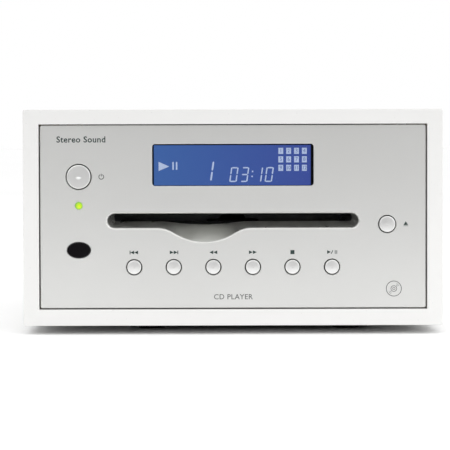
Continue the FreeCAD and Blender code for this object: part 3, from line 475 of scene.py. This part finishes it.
class PLAYER_OT_marks(Operator):
    """Prints the small signs beside the keys and the plain words on the panel"""

    bl_idname = "player.marks"
    bl_label = "Printed marks"

    sign_h: length("Sign height", "Height of the signs above the keys", 0.00185)
    sign_rise: length("Sign rise", "From a key's centre up to its sign", 0.0075)
    power_sign_r: length("Power sign", "Radius of the power sign", 0.0014)
    power_sign_gap: length("Power sign gap", "From the power key's centre to its sign", 0.0115)
    eject_sign_w: length("Eject sign", "Width of the eject sign", 0.0024)
    eject_sign_gap: length("Eject sign gap", "From the eject key's centre to its sign", 0.0094)

    # Shares of a sign's height.
    arrow_share = 1.08
    bar_share = 0.22
    square_share = 1.1
    slash_lean = 0.25
    # Shares of a sign's bar.
    pause_bar_share, skip_gap = 0.9, 0.2
    # Places of the play sign and the two pause bars, in lengths of an arrow.
    play_back = 1.25
    pause_places = (0.8, 1.2)
    # Shares of the power sign's radius.
    power_stroke = 0.28
    power_bar_rise = 0.62
    power_bar_h = 0.95
    power_half_gap = math.radians(26)
    # Shares of the eject sign's half width.
    eject_foot, eject_tip, eject_bar_down, eject_bar_h = 0.45, 1.15, 0.78, 0.2
    # Words on the panel: height of the letters, distance from the panel's edges and thickness of the strokes.
    upper_size, upper_in, upper_down, upper_weight = 4.3 * mm, 8.3 * mm, 7.3 * mm, 0.018
    lower_size, lower_up, lower_weight = 3.7 * mm, 5.5 * mm, 0.006
    word_spacing = 1.06
    # The disc sign: its place, its rings as (radius, stroke) and its glints.
    disc_in, disc_up = 16.2 * mm, 9.6 * mm
    disc_rings = ((4.0 * mm, 0.35 * mm), (1.6 * mm, 0.3 * mm), (0.75 * mm, 0.25 * mm))
    glint_starts = (math.radians(30), math.radians(210))
    glint_turn = math.radians(30)
    glint_radii = (2.3 * mm, 3.0 * mm)
    glint_stroke = 0.2 * mm

    def execute(self, context):
        settings = context.scene.player_panel
        low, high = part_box("front_panel")
        self.y0 = low.y - settings.print_thickness
        self.y1 = low.y + settings.print_thickness / 2
        ink = print_ink("dark_print", settings.print_colour)
        pale = print_ink("pale_print", settings.pale_print)
        for name in TRANSPORT_KEYS:
            x, z = centre_of(name + "_button")
            edit = bmesh.new()
            self.sign(edit, name, x, z + self.sign_rise)
            add_piece(name + "_sign", edit, ink)
        self.power_sign(pale)
        self.eject_sign(ink)
        self.words(settings, ink, pale, low, high)
        self.disc_sign(pale, low, high)
        return {"FINISHED"}

    def bar(self, edit, x, z, width, tall):
        """An upright bar with its middle at (x, z)."""
        left, right = x - width / 2, x + width / 2
        low, high = z - tall / 2, z + tall / 2
        prism(edit, [(left, low), (right, low), (right, high), (left, high)], self.y0, self.y1)

    def arrow(self, edit, x, z, way):
        """A triangle one sign high that points left or right; x is its flat side."""
        half = self.sign_h / 2
        tip = x + way * self.sign_h * self.arrow_share
        prism(edit, [(x, z - half), (tip, z), (x, z + half)], self.y0, self.y1)

    def slash(self, edit, x, z, thin):
        """A leaning stroke one sign high."""
        lean = self.sign_h * self.slash_lean
        half = self.sign_h / 2
        outline = [(x - lean - thin / 2, z - half), (x - lean + thin / 2, z - half),
                   (x + lean + thin / 2, z + half), (x + lean - thin / 2, z + half)]
        prism(edit, outline, self.y0, self.y1)

    def sign(self, edit, name, x, z):
        """The sign of a transport key."""
        step = self.sign_h * self.arrow_share
        thin = self.sign_h * self.bar_share
        if name == "stop":
            side = self.sign_h * self.square_share
            self.bar(edit, x, z, side, side)
            return
        if name == "play_pause":
            self.arrow(edit, x - step * self.play_back, z, 1)
            self.slash(edit, x, z, thin)
            for place in self.pause_places:
                self.bar(edit, x + step * place, z, thin * self.pause_bar_share, self.sign_h)
            return
        way = -1 if name in ("skip_back", "rewind") else 1
        self.arrow(edit, x - way * step, z, way)
        self.arrow(edit, x, z, way)
        if name.startswith("skip"):
            self.bar(edit, x + way * (step + thin * self.skip_gap), z, thin, self.sign_h)

    def power_sign(self, ink):
        """A ring open at the top, with a bar in the gap."""
        x, z = centre_of("power_button")
        x += self.power_sign_gap
        radius = self.power_sign_r
        stroke = radius * self.power_stroke
        start = math.pi / 2 + self.power_half_gap
        sweep = 2 * (math.pi - self.power_half_gap)
        edit = bmesh.new()
        band(edit, x, z, radius, radius - stroke, self.y0, self.y1, start, sweep, 40)
        self.bar(edit, x, z + radius * self.power_bar_rise, stroke, radius * self.power_bar_h)
        add_piece("power_sign", edit, ink)

    def eject_sign(self, ink):
        """A triangle that points up, over a bar."""
        x, z = centre_of("eject_button")
        x += self.eject_sign_gap
        half = self.eject_sign_w / 2
        foot, tip = z - half * self.eject_foot, z + half * self.eject_tip
        edit = bmesh.new()
        prism(edit, [(x - half, foot), (x + half, foot), (x, tip)], self.y0, self.y1)
        bar_z, bar_h = z - half * self.eject_bar_down, half * self.eject_bar_h
        self.bar(edit, x, bar_z, self.eject_sign_w, bar_h)
        add_piece("eject_sign", edit, ink)

    def words(self, settings, ink, pale, low, high):
        thickness = settings.print_thickness * 1.5
        y = (self.y0 + self.y1) / 2
        upper = lettering(
            "upper_word", settings.word, self.upper_size, low.x + self.upper_in, high.z - self.upper_down, y,
            thickness, "LEFT", spacing=self.word_spacing, weight=self.upper_weight,
        )
        add_piece("upper_word", upper, ink)
        lower = lettering(
            "lower_word", settings.lower_word, self.lower_size, 0.0, low.z + self.lower_up, y, thickness,
            spacing=self.word_spacing, weight=self.lower_weight,
        )
        add_piece("lower_word", lower, pale)

    def disc_sign(self, ink, low, high):
        """A plain disc drawn as three rings with two glints, low on the right."""
        x, z = high.x - self.disc_in, low.z + self.disc_up
        edit = bmesh.new()
        for outer, stroke in self.disc_rings:
            band(edit, x, z, outer, outer - stroke, self.y0, self.y1)
        for start in self.glint_starts:
            for radius in self.glint_radii:
                inner = radius - self.glint_stroke
                band(edit, x, z, radius, inner, self.y0, self.y1, start, self.glint_turn, 10)
        add_piece("disc_sign", edit, ink)


def centre_of(node):
    """The middle of a node, as seen from the front."""
    low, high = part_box(node)
    return (low.x + high.x) / 2, (low.z + high.z) / 2


# ---- display
SEGMENTS = {
    "0": "abcdef", "1": "bc", "2": "abdeg", "3": "abcdg", "4": "bcfg", "5": "acdfg",
    "6": "acdefg", "7": "abc", "8": "abcdefg", "9": "abcdfg", " ": "",
}


class PLAYER_OT_display(Operator):
    """Lights the display, puts its symbols on the glass and clears the window in front"""

    bl_idname = "player.display"
    bl_label = "Display"

    small_h: length("Small digits", "Height of the playing time's digits", 0.0076)
    small_pitch: length("Small pitch", "From one of the playing time's digits to the next", 0.00546)
    big_h: length("Big digit", "Height of the track number", 0.0102)
    cell_w: length("Box width", "Width of a numbered box", 0.00245)
    cell_h: length("Box height", "Height of a numbered box", 0.0031)
    cell_columns: IntProperty(name="Columns", description="Numbered boxes across", default=4, min=1)
    cell_rows: IntProperty(name="Rows", description="Numbered boxes down", default=3, min=1)

    # Places are from the glass's middle, to the right and up.
    play_corners = ((-37.8 * mm, -3.1 * mm), (-32.4 * mm, -0.8 * mm), (-37.8 * mm, 1.6 * mm))
    pause_places = (-30.8 * mm, -29.0 * mm)
    pause_low, pause_w, pause_h = -2.5 * mm, 0.75 * mm, 4.0 * mm
    track_left, track_low = -15.9 * mm, -8.3 * mm
    clock_left, clock_low = -1.9 * mm, -8.8 * mm
    cells_left, cells_top = 24.4 * mm, 7.0 * mm
    cell_pitch_x, cell_pitch_z = 4.0 * mm, 4.33 * mm
    figure_h, figure_t, figure_spacing = 2.7 * mm, 0.03 * mm, 0.8
    # The colon: its dots' size and heights, its lean, and the room it takes in digit pitches.
    dot, dot_heights, dot_in, dot_lean, colon_room = 0.7 * mm, (0.33, 0.66), 0.15 * mm, 0.8 * mm, 0.29
    # Shares of a digit's height.
    digit_wide, digit_thick, digit_gap = 0.5, 0.085, 0.02
    # How far the symbols stand out of the glass and reach into it.
    stand_out, reach_in = 0.05 * mm, 0.02 * mm
    # Shares of the display's light, and of its colour at the right.
    symbol_light, figure_light, right_shift = 1.05, 0.9, (0.92, 0.56, 0.85)

    def execute(self, context):
        settings = context.scene.player_display
        low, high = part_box("lcd_glass")
        self.x, self.z = centre_of("lcd_glass")
        self.y0, self.y1 = low.y - self.stand_out, low.y + self.reach_in
        dress("lcd_glass", self.lit_glass(settings, low, high))
        dress_all((
            ("lcd_backlight", "backlight_box", (0.75, 0.75, 0.73), 0.5, 0.0, 400, 4, {}),
            ("display_mask", "mask_paint", (0.008, 0.007, 0.010), 0.5, 0.0, 400, 2, {"specular": 0.3}),
        ))
        dress("display_window", self.window())
        self.symbols(settings)
        self.cells(settings)
        return {"FINISHED"}

    def lit_glass(self, settings, low, high):
        """A backlit blue, a little greener at the left, where its lamp sits."""
        material, tree, shader, place = shader_of("lit_blue_glass")
        tint = tuple(settings.lit)
        split = add_node(tree, "SeparateXYZ", Vector=place)
        across = spread(tree, split.outputs["X"], 0, 1, low.x, high.x)
        mottle = noise(tree, place, 0.2 * mm, 1.0)
        glow = blend_colours(tree, across, tint, shifted(tint, self.right_shift))
        glow = blend_colours(tree, spread(tree, mottle, 0, 0.05), glow, darker(tint, 0.5))
        feed(tree, shader, Emission_Color=glow, Emission_Strength=settings.glow, Roughness=0.25,
             Base_Color=(0.004, 0.006, 0.02), Specular_IOR_Level=0.2)
        return material

    def window(self):
        """Clear acrylic with faint wiping marks."""
        material, tree, shader, place = shader_of("clear_window")
        smear = noise(tree, place, 20 * mm, 2.0, (1, 1, 0.4))
        feed(tree, shader, Base_Color=(0.97, 0.97, 0.98), Roughness=spread(tree, smear, 0.01, 0.035),
             Transmission_Weight=1.0, IOR=1.45, Specular_IOR_Level=0.15)
        return material

    def digit(self, edit, figure, x, z, tall, slant):
        """A seven-segment figure whose lower left corner is at (x, z)."""
        wide = tall * self.digit_wide
        half = tall * self.digit_thick / 2
        gap = tall * self.digit_gap
        mid = tall / 2
        lean = math.tan(slant)
        bars = {
            "a": ("flat", 0, wide, tall - half), "g": ("flat", 0, wide, mid), "d": ("flat", 0, wide, half),
            "f": ("tall", mid, tall, half), "b": ("tall", mid, tall, wide - half),
            "e": ("tall", 0, mid, half), "c": ("tall", 0, mid, wide - half),
        }
        for letter in SEGMENTS[figure]:
            kind, start, end, across = bars[letter]
            inset = gap + half if kind == "flat" else gap
            start, end = start + inset, end - inset
            near, far = start + half, end - half
            outline = [(start, 0), (near, -half), (far, -half), (end, 0), (far, half), (near, half)]
            if kind == "flat":
                points = [(u, across + v) for u, v in outline]
            else:
                points = [(across - v, u) for u, v in outline]
            prism(edit, [(x + u + v * lean, z + v) for u, v in points], self.y0, self.y1)

    def bar(self, edit, x, z, width, tall):
        """An upright bar whose lower left corner is at (x, z)."""
        outline = [(x, z), (x + width, z), (x + width, z + tall), (x, z + tall)]
        prism(edit, outline, self.y0, self.y1)

    def symbols(self, settings):
        """Play and pause signs, the track number and the playing time."""
        edit = bmesh.new()
        x, z, slant = self.x, self.z, settings.slant
        prism(edit, [(x + u, z + v) for u, v in self.play_corners], self.y0, self.y1)
        for left in self.pause_places:
            self.bar(edit, x + left, z + self.pause_low, self.pause_w, self.pause_h)
        self.digit(edit, str(settings.track), x + self.track_left, z + self.track_low, self.big_h, slant)
        left = x + self.clock_left
        for letter in settings.clock:
            if letter == ":":
                self.colon(edit, left, z + self.clock_low)
                left += self.small_pitch * self.colon_room
            else:
                self.digit(edit, letter, left, z + self.clock_low, self.small_h, slant)
                left += self.small_pitch
        add_piece("display_symbols", edit, self.symbol_glow(settings))

    def colon(self, edit, x, z):
        for up in self.dot_heights:
            self.bar(edit, x + self.dot_in + up * self.dot_lean, z + up * self.small_h, self.dot, self.dot)

    def symbol_glow(self, settings):
        tint = tuple(settings.symbols)
        material = finish("lit_symbols", darker(tint, 0.5), 0.5, depth=1 * micron, grain=200 * micron)
        return glowing(material, tint, settings.glow * self.symbol_light)

    def cells(self, settings):
        """Rows of small lit boxes, each with its number left dark."""
        edit = bmesh.new()
        figures = bmesh.new()
        for number in range(self.cell_columns * self.cell_rows):
            row, column = divmod(number, self.cell_columns)
            x = self.x + self.cells_left + column * self.cell_pitch_x
            z = self.z + self.cells_top - row * self.cell_pitch_z
            self.bar(edit, x - self.cell_w / 2, z - self.cell_h / 2, self.cell_w, self.cell_h)
            text = str(number + 1)
            shape = lettering(
                "figure_" + text, text, self.figure_h, x, z, self.y0, self.figure_t,
                spacing=self.figure_spacing,
            )
            figures.from_mesh(shape)
            bpy.data.meshes.remove(shape)
        add_piece("numbered_boxes", edit, self.symbol_glow(settings))
        dark = finish("dark_figures", (0.03, 0.05, 0.16), 0.6, depth=1 * micron, grain=200 * micron)
        glowing(dark, (0.04, 0.09, 0.3), settings.glow * self.figure_light)
        add_piece("box_figures", figures, dark)


# ---- keys, slot and lamp
class PLAYER_OT_keys(Operator):
    """Gives the keys their polished silver, with the faint turning marks that a lathe leaves"""

    bl_idname = "player.keys"
    bl_label = "Keys"

    # Painted shade: the small keys get a darker copy of the key silver, standing in for the shade the light
    # leaves on them.
    small_key_shade = 0.94
    ring_scale = 1800.0
    ring_wobble = 1.5
    ring_depth = 0.6 * micron
    grain_size = 150 * micron
    grain_share = 0.06
    grain_shade = 0.6
    grain_depth = 1 * micron
    roughness = (0.3, 0.4)
    metal = 0.8

    def execute(self, context):
        tint = tuple(context.scene.player_trim.key_silver)
        for name in ALL_KEYS:
            node = name + "_button"
            x, z = centre_of(node)
            # Painted shade: every key but the power key gets the darker copy of the silver.
            shade = tint if name == "power" else darker(tint, self.small_key_shade)
            dress(node, self.turned(node, shade, x, z))
        return {"FINISHED"}

    def turned(self, node, tint, x, z):
        """Silver with fine rings about the line along Y through (x, z)."""
        material, tree, shader, place = shader_of(node + "_silver")
        offset = vector_math(tree, "SUBTRACT", place, (x, 0.0, z))["Vector"]
        flat = vector_math(tree, "MULTIPLY", offset, (1.0, 0.0, 1.0))["Vector"]
        rings = add_node(tree, "TexWave", Scale=self.ring_scale, Distortion=self.ring_wobble, Vector=flat)
        rings.wave_type = "RINGS"
        rings.rings_direction = "SPHERICAL"
        grain = noise(tree, place, self.grain_size, 2.0)
        shade = blend_colours(
            tree, spread(tree, grain, 0, self.grain_share), tint, darker(tint, self.grain_shade)
        )
        relief = bump(tree, rings.outputs["Fac"], self.ring_depth)
        relief = bump(tree, grain, self.grain_depth, under=relief)
        gloss = spread(tree, grain, *self.roughness)
        feed(tree, shader, Base_Color=shade, Roughness=gloss, Normal=relief, Metallic=self.metal)
        return material


class PLAYER_OT_slot(Operator):
    """Gives the disc slot its grey throat and its black felt lips"""

    bl_idname = "player.slot"
    bl_label = "Disc slot"

    def execute(self, context):
        tint = tuple(context.scene.player_trim.funnel)
        dress_all((("slot_funnel", "funnel_paint", tint, 0.34, 0.9, 200, 3, {}),))
        dress("felt_strips", self.felt())
        return {"FINISHED"}

    def felt(self):
        """Black felt with a little grey lint."""
        material, tree, shader, place = shader_of("felt")
        nap = noise(tree, place, 0.25 * mm, 4.0)
        lint = noise(tree, place, 1.5 * mm, 3.0)
        shade = blend_colours(tree, spread(tree, nap, 0, 1), (0.002, 0.002, 0.002), (0.006, 0.006, 0.006))
        shade = blend_colours(tree, spread(tree, lint, 0, 0.4, 0.62, 0.78), shade, (0.02, 0.02, 0.02))
        feed(tree, shader, Base_Color=shade, Normal=bump(tree, nap, 0.12 * mm), Roughness=1.0,
             Specular_IOR_Level=0.05)
        return material


class PLAYER_OT_lamp(Operator):
    """Lights the lamp and gives the sensor its dark window"""

    bl_idname = "player.lamp"
    bl_label = "Lamp and sensor"

    glow_power = 0.8
    core_off = 0.3 * mm
    core_r = 0.8 * mm
    edge_start = 0.7 * mm
    edge_share = 0.42
    core_shift, edge_shift = (1.6, 0.9, 0.0), (0.3, 0.5, 2.5)

    def execute(self, context):
        dress("status_led", self.lit_lamp(tuple(context.scene.player_trim.lamp)))
        clear = {"gloss_drift": 0.03, "specular": 0.35}
        dress_all((
            ("ir_window", "sensor_window", (0.003, 0.002, 0.003), 0.12, 0.0, 1000, 1, clear),
            ("ir_receiver", "sensor_case", (0.01, 0.01, 0.01), 0.5, 0.0, 400, 4, {}),
        ))
        return {"FINISHED"}

    def lit_lamp(self, tint):
        """A lamp that is warmest a little below and right of its middle and greener at its edge."""
        low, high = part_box("status_led")
        x, z = centre_of("status_led")
        material, tree, shader, place = shader_of("lit_lamp")
        spot = (x + self.core_off, low.y, z - self.core_off)
        away = vector_math(tree, "DISTANCE", place, spot)["Value"]
        edge = spread(tree, away, 0, 1, self.edge_start, (high.x - low.x) * self.edge_share)
        core = spread(tree, away, 0, 1, 0.0, self.core_r)
        glow = blend_colours(tree, core, shifted(tint, self.core_shift), tint)
        glow = blend_colours(tree, edge, glow, shifted(tint, self.edge_shift))
        feed(tree, shader, Emission_Color=glow, Emission_Strength=self.glow_power, Roughness=0.25,
             Base_Color=darker(tint, 0.15))
        return material


# ---- inside
class PLAYER_OT_loader(Operator):
    """Gives the disc loader its zinc-plated steel, rubber, acetal and brass"""

    bl_idname = "player.loader"
    bl_label = "Disc loader"

    finishes = (
        ("transport_tray transport_cover traverse_plate clamp_arm",
         "zinc_steel", (0.55, 0.57, 0.58), 0.34, 1.0, 1200, 6, {"drift": 0.16}),
        ("roller_shaft steel_pins lead_screw",
         "bright_steel", (0.66, 0.66, 0.65), 0.2, 1.0, 200, 2, {"stretch": (0.1, 1, 1)}),
        ("support_pillars motor_pinion", "brass", (0.70, 0.50, 0.20), 0.3, 1.0, 300, 3, {}),
        ("disc_guide roller_gear reduction_gear",
         "white_acetal", (0.72, 0.71, 0.66), 0.45, 0.0, 800, 4, {}),
        ("feed_roller", "roller_rubber", (0.03, 0.03, 0.032), 0.8, 0.0, 300, 20, {"specular": 0.25}),
        ("rubber_dampers", "damper_rubber", (0.05, 0.05, 0.055), 0.8, 0.0, 400, 20, {"specular": 0.25}),
        ("loading_motor traverse_motors", "motor_can", (0.60, 0.60, 0.57), 0.28, 1.0, 400, 3, {}),
        ("turntable clamp_puck", "turntable_black", (0.014, 0.014, 0.015), 0.4, 0.0, 500, 5, {}),
        ("pickup_sled", "sled_metal", (0.45, 0.45, 0.44), 0.5, 0.9, 600, 10, {}),
        ("pickup_lens", "lens_holder", (0.02, 0.022, 0.03), 0.2, 0.0, 400, 2, {"coat": 0.4}),
    )

    def execute(self, context):
        dress_all(self.finishes)
        return {"FINISHED"}


class PLAYER_OT_boards(Operator):
    """Gives the circuit boards and what stands on them their finishes"""

    bl_idname = "player.boards"
    bl_label = "Boards and supply"

    finishes = (
        ("tact_switches", "switch_black", (0.015, 0.015, 0.016), 0.45, 0.0, 400, 4, {}),
        ("capacitors", "capacitor_sleeve", (0.015, 0.03, 0.10), 0.3, 0.0, 1000, 3, {}),
        ("ribbon_cable", "ribbon_grey", (0.42, 0.42, 0.43), 0.5, 0.0, 600, 40, {"stretch": (1, 0.05, 1)}),
        ("case_screws", "steel_screw", (0.35, 0.35, 0.35), 0.35, 1.0, 300, 4, {}),
    )

    def execute(self, context):
        dress("control_board main_board", self.board())
        dress("power_transformer", self.windings())
        dress_all(self.finishes)
        return {"FINISHED"}

    def board(self):
        """Green solder resist over copper runs."""
        material, tree, shader, place = shader_of("circuit_board")
        runs = add_node(tree, "TexBrick", Scale=120.0, Mortar_Size=0.06, Color1=(0.008, 0.085, 0.03),
                        Color2=(0.010, 0.10, 0.036), Mortar=(0.03, 0.16, 0.06), Vector=place)
        relief = bump(tree, runs.outputs["Fac"], 30 * micron)
        feed(tree, shader, Base_Color=runs.outputs["Color"], Normal=relief, Roughness=0.32)
        return material

    def windings(self):
        """Yellow tape wound over a laminated core."""
        material, tree, shader, place = shader_of("coil_tape")
        layers = add_node(tree, "TexWave", Scale=300.0, Distortion=0.6, Vector=place)
        layers.bands_direction = "Z"
        shade = blend_colours(tree, layers.outputs["Fac"], (0.55, 0.38, 0.05), (0.68, 0.50, 0.10))
        relief = bump(tree, layers.outputs["Fac"], 30 * micron)
        feed(tree, shader, Base_Color=shade, Normal=relief, Roughness=0.35)
        return material


# ---- back
class PLAYER_OT_back(Operator):
    """Powder-coats the rear panel and finishes its sockets, with their plain labels"""

    bl_idname = "player.back"
    bl_label = "Back"

    ring_r: length("Colour ring", "Outer radius of the coloured ring in a line socket", 0.0029)
    ring_hole_r: length("Colour ring hole", "Inner radius of the coloured ring in a line socket", 0.0018)
    pin_r: length("Inlet pin", "Radius of a pin's plating in the mains inlet", 0.00125)
    pin_pitch: length("Inlet pin pitch", "From one pin of the mains inlet to the other", 0.0086)
    pin_set_back: length("Inlet pin set back", "From the mains inlet's face to the tips of its pins", 0.00195)
    pin_l: length("Inlet pin length", "Length of a pin of the mains inlet", 0.0085)

    ring_under, ring_over = 0.05 * mm, 0.15 * mm
    # A pin's tip: each circle's share of the pin's radius and its distance from the end.
    pin_tip = ((1.0, 0.5 * mm), (0.85, 0.15 * mm), (0.5, 0.0))
    # Rear labels: letter heights, thickness, and distances above the sockets and the inlet.
    label_size, channel_size = 3.0 * mm, 2.8 * mm
    label_t, label_out = 0.06 * mm, 0.02 * mm
    line_rise, channel_rise, mains_rise = 8.0 * mm, 3.6 * mm, 14.0 * mm
    channel_in = 0.29

    finishes = (
        ("rear_panel", "powder_coat", (0.014, 0.014, 0.015), 0.6, 0.0, 700, 40, {"specular": 0.35}),
        ("power_inlet", "inlet_black", (0.012, 0.012, 0.012), 0.4, 0.0, 500, 6, {}),
        ("jack_block", "jack_block_white", (0.70, 0.70, 0.68), 0.45, 0.0, 600, 6, {}),
        ("jack_barrels", "nickel", (0.72, 0.69, 0.62), 0.2, 1.0, 300, 2, {}),
    )

    def execute(self, context):
        dress_all(self.finishes)
        self.labels()
        self.colour_rings()
        self.pins()
        return {"FINISHED"}

    def colour_rings(self):
        """White for the left channel and red for the right, as seen in the mouth of each socket."""
        low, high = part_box("jack_barrels")
        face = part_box("jack_block")[1].y
        reach = (high.z - low.z) / 2
        z = (high.z + low.z) / 2
        for name, x, tint in (
            ("white_ring", low.x + reach, (0.72, 0.72, 0.70)),
            ("red_ring", high.x - reach, (0.45, 0.015, 0.012)),
        ):
            edit = bmesh.new()
            band(edit, x, z, self.ring_r, self.ring_hole_r, face - self.ring_under, face + self.ring_over)
            material = finish(name, tint, 0.4)
            add_piece(name, edit, material)

    def pins(self):
        """The bright plating on the two pins of the mains inlet."""
        x, z = centre_of("power_inlet")
        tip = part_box("power_inlet")[1].y - self.pin_set_back
        profile = [(self.pin_r, tip - self.pin_l)]
        profile += [(self.pin_r * part, tip - back) for part, back in self.pin_tip]
        edit = bmesh.new()
        for side in (-1, 1):
            lathe(edit, x + side * self.pin_pitch / 2, z, profile)
        plating = finish("pin_plating", (0.74, 0.74, 0.72), 0.2, 1.0, grain=300 * micron, depth=2 * micron)
        add_piece("inlet_pins", edit, plating)

    def labels(self):
        """Plain names over the sockets and the inlet."""
        ink = print_ink("pale_label", (0.62, 0.62, 0.60))
        jack_low, jack_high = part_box("jack_barrels")
        inlet_x, inlet_z = centre_of("power_inlet")
        jack_x = (jack_low.x + jack_high.x) / 2
        inward = (jack_high.x - jack_low.x) / 2 * self.channel_in
        line_z, channel_z = jack_high.z + self.line_rise, jack_high.z + self.channel_rise
        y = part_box("rear_panel")[1].y + self.label_out
        for name, text, size, x, z in (
            ("label_line", "LINE OUT", self.label_size, jack_x, line_z),
            ("label_left", "L", self.channel_size, jack_low.x + inward, channel_z),
            ("label_right", "R", self.channel_size, jack_high.x - inward, channel_z),
            ("label_mains", "AC IN", self.label_size, inlet_x, inlet_z + self.mains_rise),
        ):
            mesh = lettering(name, text, size, x, z, y, self.label_t, facing_back=True)
            add_piece(name, mesh, ink)


# ---- stage
class PLAYER_OT_stage(Operator):
    """Sets up the pale floor, the soft lights and the camera"""

    bl_idname = "player.stage"
    bl_label = "Stage"

    # Each row: name, place, what it points at, width, and the setting with its power.
    lights = (
        ("Window_light", (0.85, -0.75, 0.55), (0.0, -0.1, 0.05), 1.0, "window_power"),
        ("Fill_light", (-0.7, -0.9, 0.6), (0.0, -0.1, 0.05), 1.0, "fill_power"),
        ("Right_edge_light", (1.0, 0.0, 0.2), (0.0, -0.05, 0.0), 0.45, "right_edge_power"),
        ("Left_edge_light", (-1.0, 0.0, 0.2), (0.0, -0.05, 0.0), 0.45, "left_edge_power"),
    )

    def execute(self, context):
        settings = context.scene.player_stage
        front = cad_box[0][1]
        self.floor(settings, front)
        self.world(context, settings)
        for name, place, target, size, power in self.lights:
            self.light(name, place, target, size, getattr(settings, power))
        self.camera(context, settings, front)
        context.scene.view_settings.view_transform = "Standard"
        return {"FINISHED"}

    def floor(self, settings, front):
        """A white table top that ends a little way in front of the player."""
        half = settings.floor / 2
        edge = front - settings.table_front
        edit = bmesh.new()
        corners = ((-half, edge, 0), (half, edge, 0), (half, half, 0), (-half, half, 0))
        edit.faces.new([edit.verts.new(corner) for corner in corners])
        floor = add_object("Floor", mesh_from("Floor", edit))
        top = finish(
            "pale_floor", (0.95, 0.95, 0.95), 0.6, grain=10 * mm, depth=10 * micron, drift=0.01, specular=0.2
        )
        floor.data.materials.append(glowing(top, (1.0, 1.0, 1.0), settings.floor_glow))

    def world(self, context, settings):
        """A white backdrop whose light on the player falls off from overhead to the horizon."""
        world = bpy.data.worlds.new("Studio")
        world.use_nodes = True
        context.scene.world = world
        tree = world.node_tree
        direction = add_node(tree, "TexCoord").outputs["Generated"]
        way = add_node(tree, "SeparateXYZ", Vector=direction)
        glow = spread(tree, way.outputs["Z"], settings.horizon_light, settings.top_light, 0.0, 1.0)
        seen = add_node(tree, "LightPath").outputs["Is Camera Ray"]
        strength = add_node(tree, "Mix", Factor=seen, A=glow, B=1.0).outputs["Result"]
        feed(tree, tree.nodes["Background"], Color=(1.0, 1.0, 1.0), Strength=strength)

    def light(self, name, place, target, size, power):
        data = bpy.data.lights.new(name, "AREA")
        data.size = size
        data.energy = power
        lamp = add_object(name, data)
        lamp.location = place
        lamp.rotation_euler = (Vector(target) - Vector(place)).to_track_quat("-Z", "Y").to_euler()

    def camera(self, context, settings, front):
        data = bpy.data.cameras.new("Camera")
        data.sensor_width = 36.0
        data.lens = settings.lens
        data.shift_y = settings.shift
        data.clip_start = 0.05
        camera = add_object("Camera", data)
        level = Matrix.Rotation(math.radians(90) - settings.pitch, 4, "X")
        place = Matrix.Translation((settings.side, front - settings.distance, settings.height))
        camera.matrix_world = place @ level @ Matrix.Rotation(settings.roll, 4, "Z")
        context.scene.camera = camera


# ---- add-on
MAKERS = (
    PLAYER_OT_cabinet, PLAYER_OT_base, PLAYER_OT_panel, PLAYER_OT_marks, PLAYER_OT_display, PLAYER_OT_keys,
    PLAYER_OT_slot, PLAYER_OT_lamp, PLAYER_OT_loader, PLAYER_OT_boards, PLAYER_OT_back, PLAYER_OT_stage,
)
SETTINGS = {
    "player_cabinet": CabinetSettings, "player_panel": PanelSettings, "player_display": DisplaySettings,
    "player_trim": TrimSettings, "player_stage": StageSettings,
}


class PLAYER_PT_sidebar(Panel):
    """Lists the makers of the player's pieces and their settings"""

    bl_label = "Disc Player"
    bl_space_type = "VIEW_3D"
    bl_region_type = "UI"
    bl_category = "Disc Player"

    def draw(self, context):
        for name, group in SETTINGS.items():
            box = self.layout.box()
            box.label(text=group.__name__.replace("Settings", ""))
            for field in group.__annotations__:
                box.prop(getattr(context.scene, name), field)
        for maker in MAKERS:
            self.layout.operator(maker.bl_idname)


def register():
    for kind in (*SETTINGS.values(), *MAKERS, PLAYER_PT_sidebar):
        bpy.utils.register_class(kind)
    for name, group in SETTINGS.items():
        setattr(bpy.types.Scene, name, PointerProperty(type=group))


def unregister():
    for name in SETTINGS:
        delattr(bpy.types.Scene, name)
    for kind in (PLAYER_PT_sidebar, *MAKERS[::-1], *SETTINGS.values()):
        bpy.utils.unregister_class(kind)


def main():
    register()
    for maker in MAKERS:
        group, name = maker.bl_idname.split(".")
        getattr(getattr(bpy.ops, group), name)()


if __name__ == "__main__":
    main()
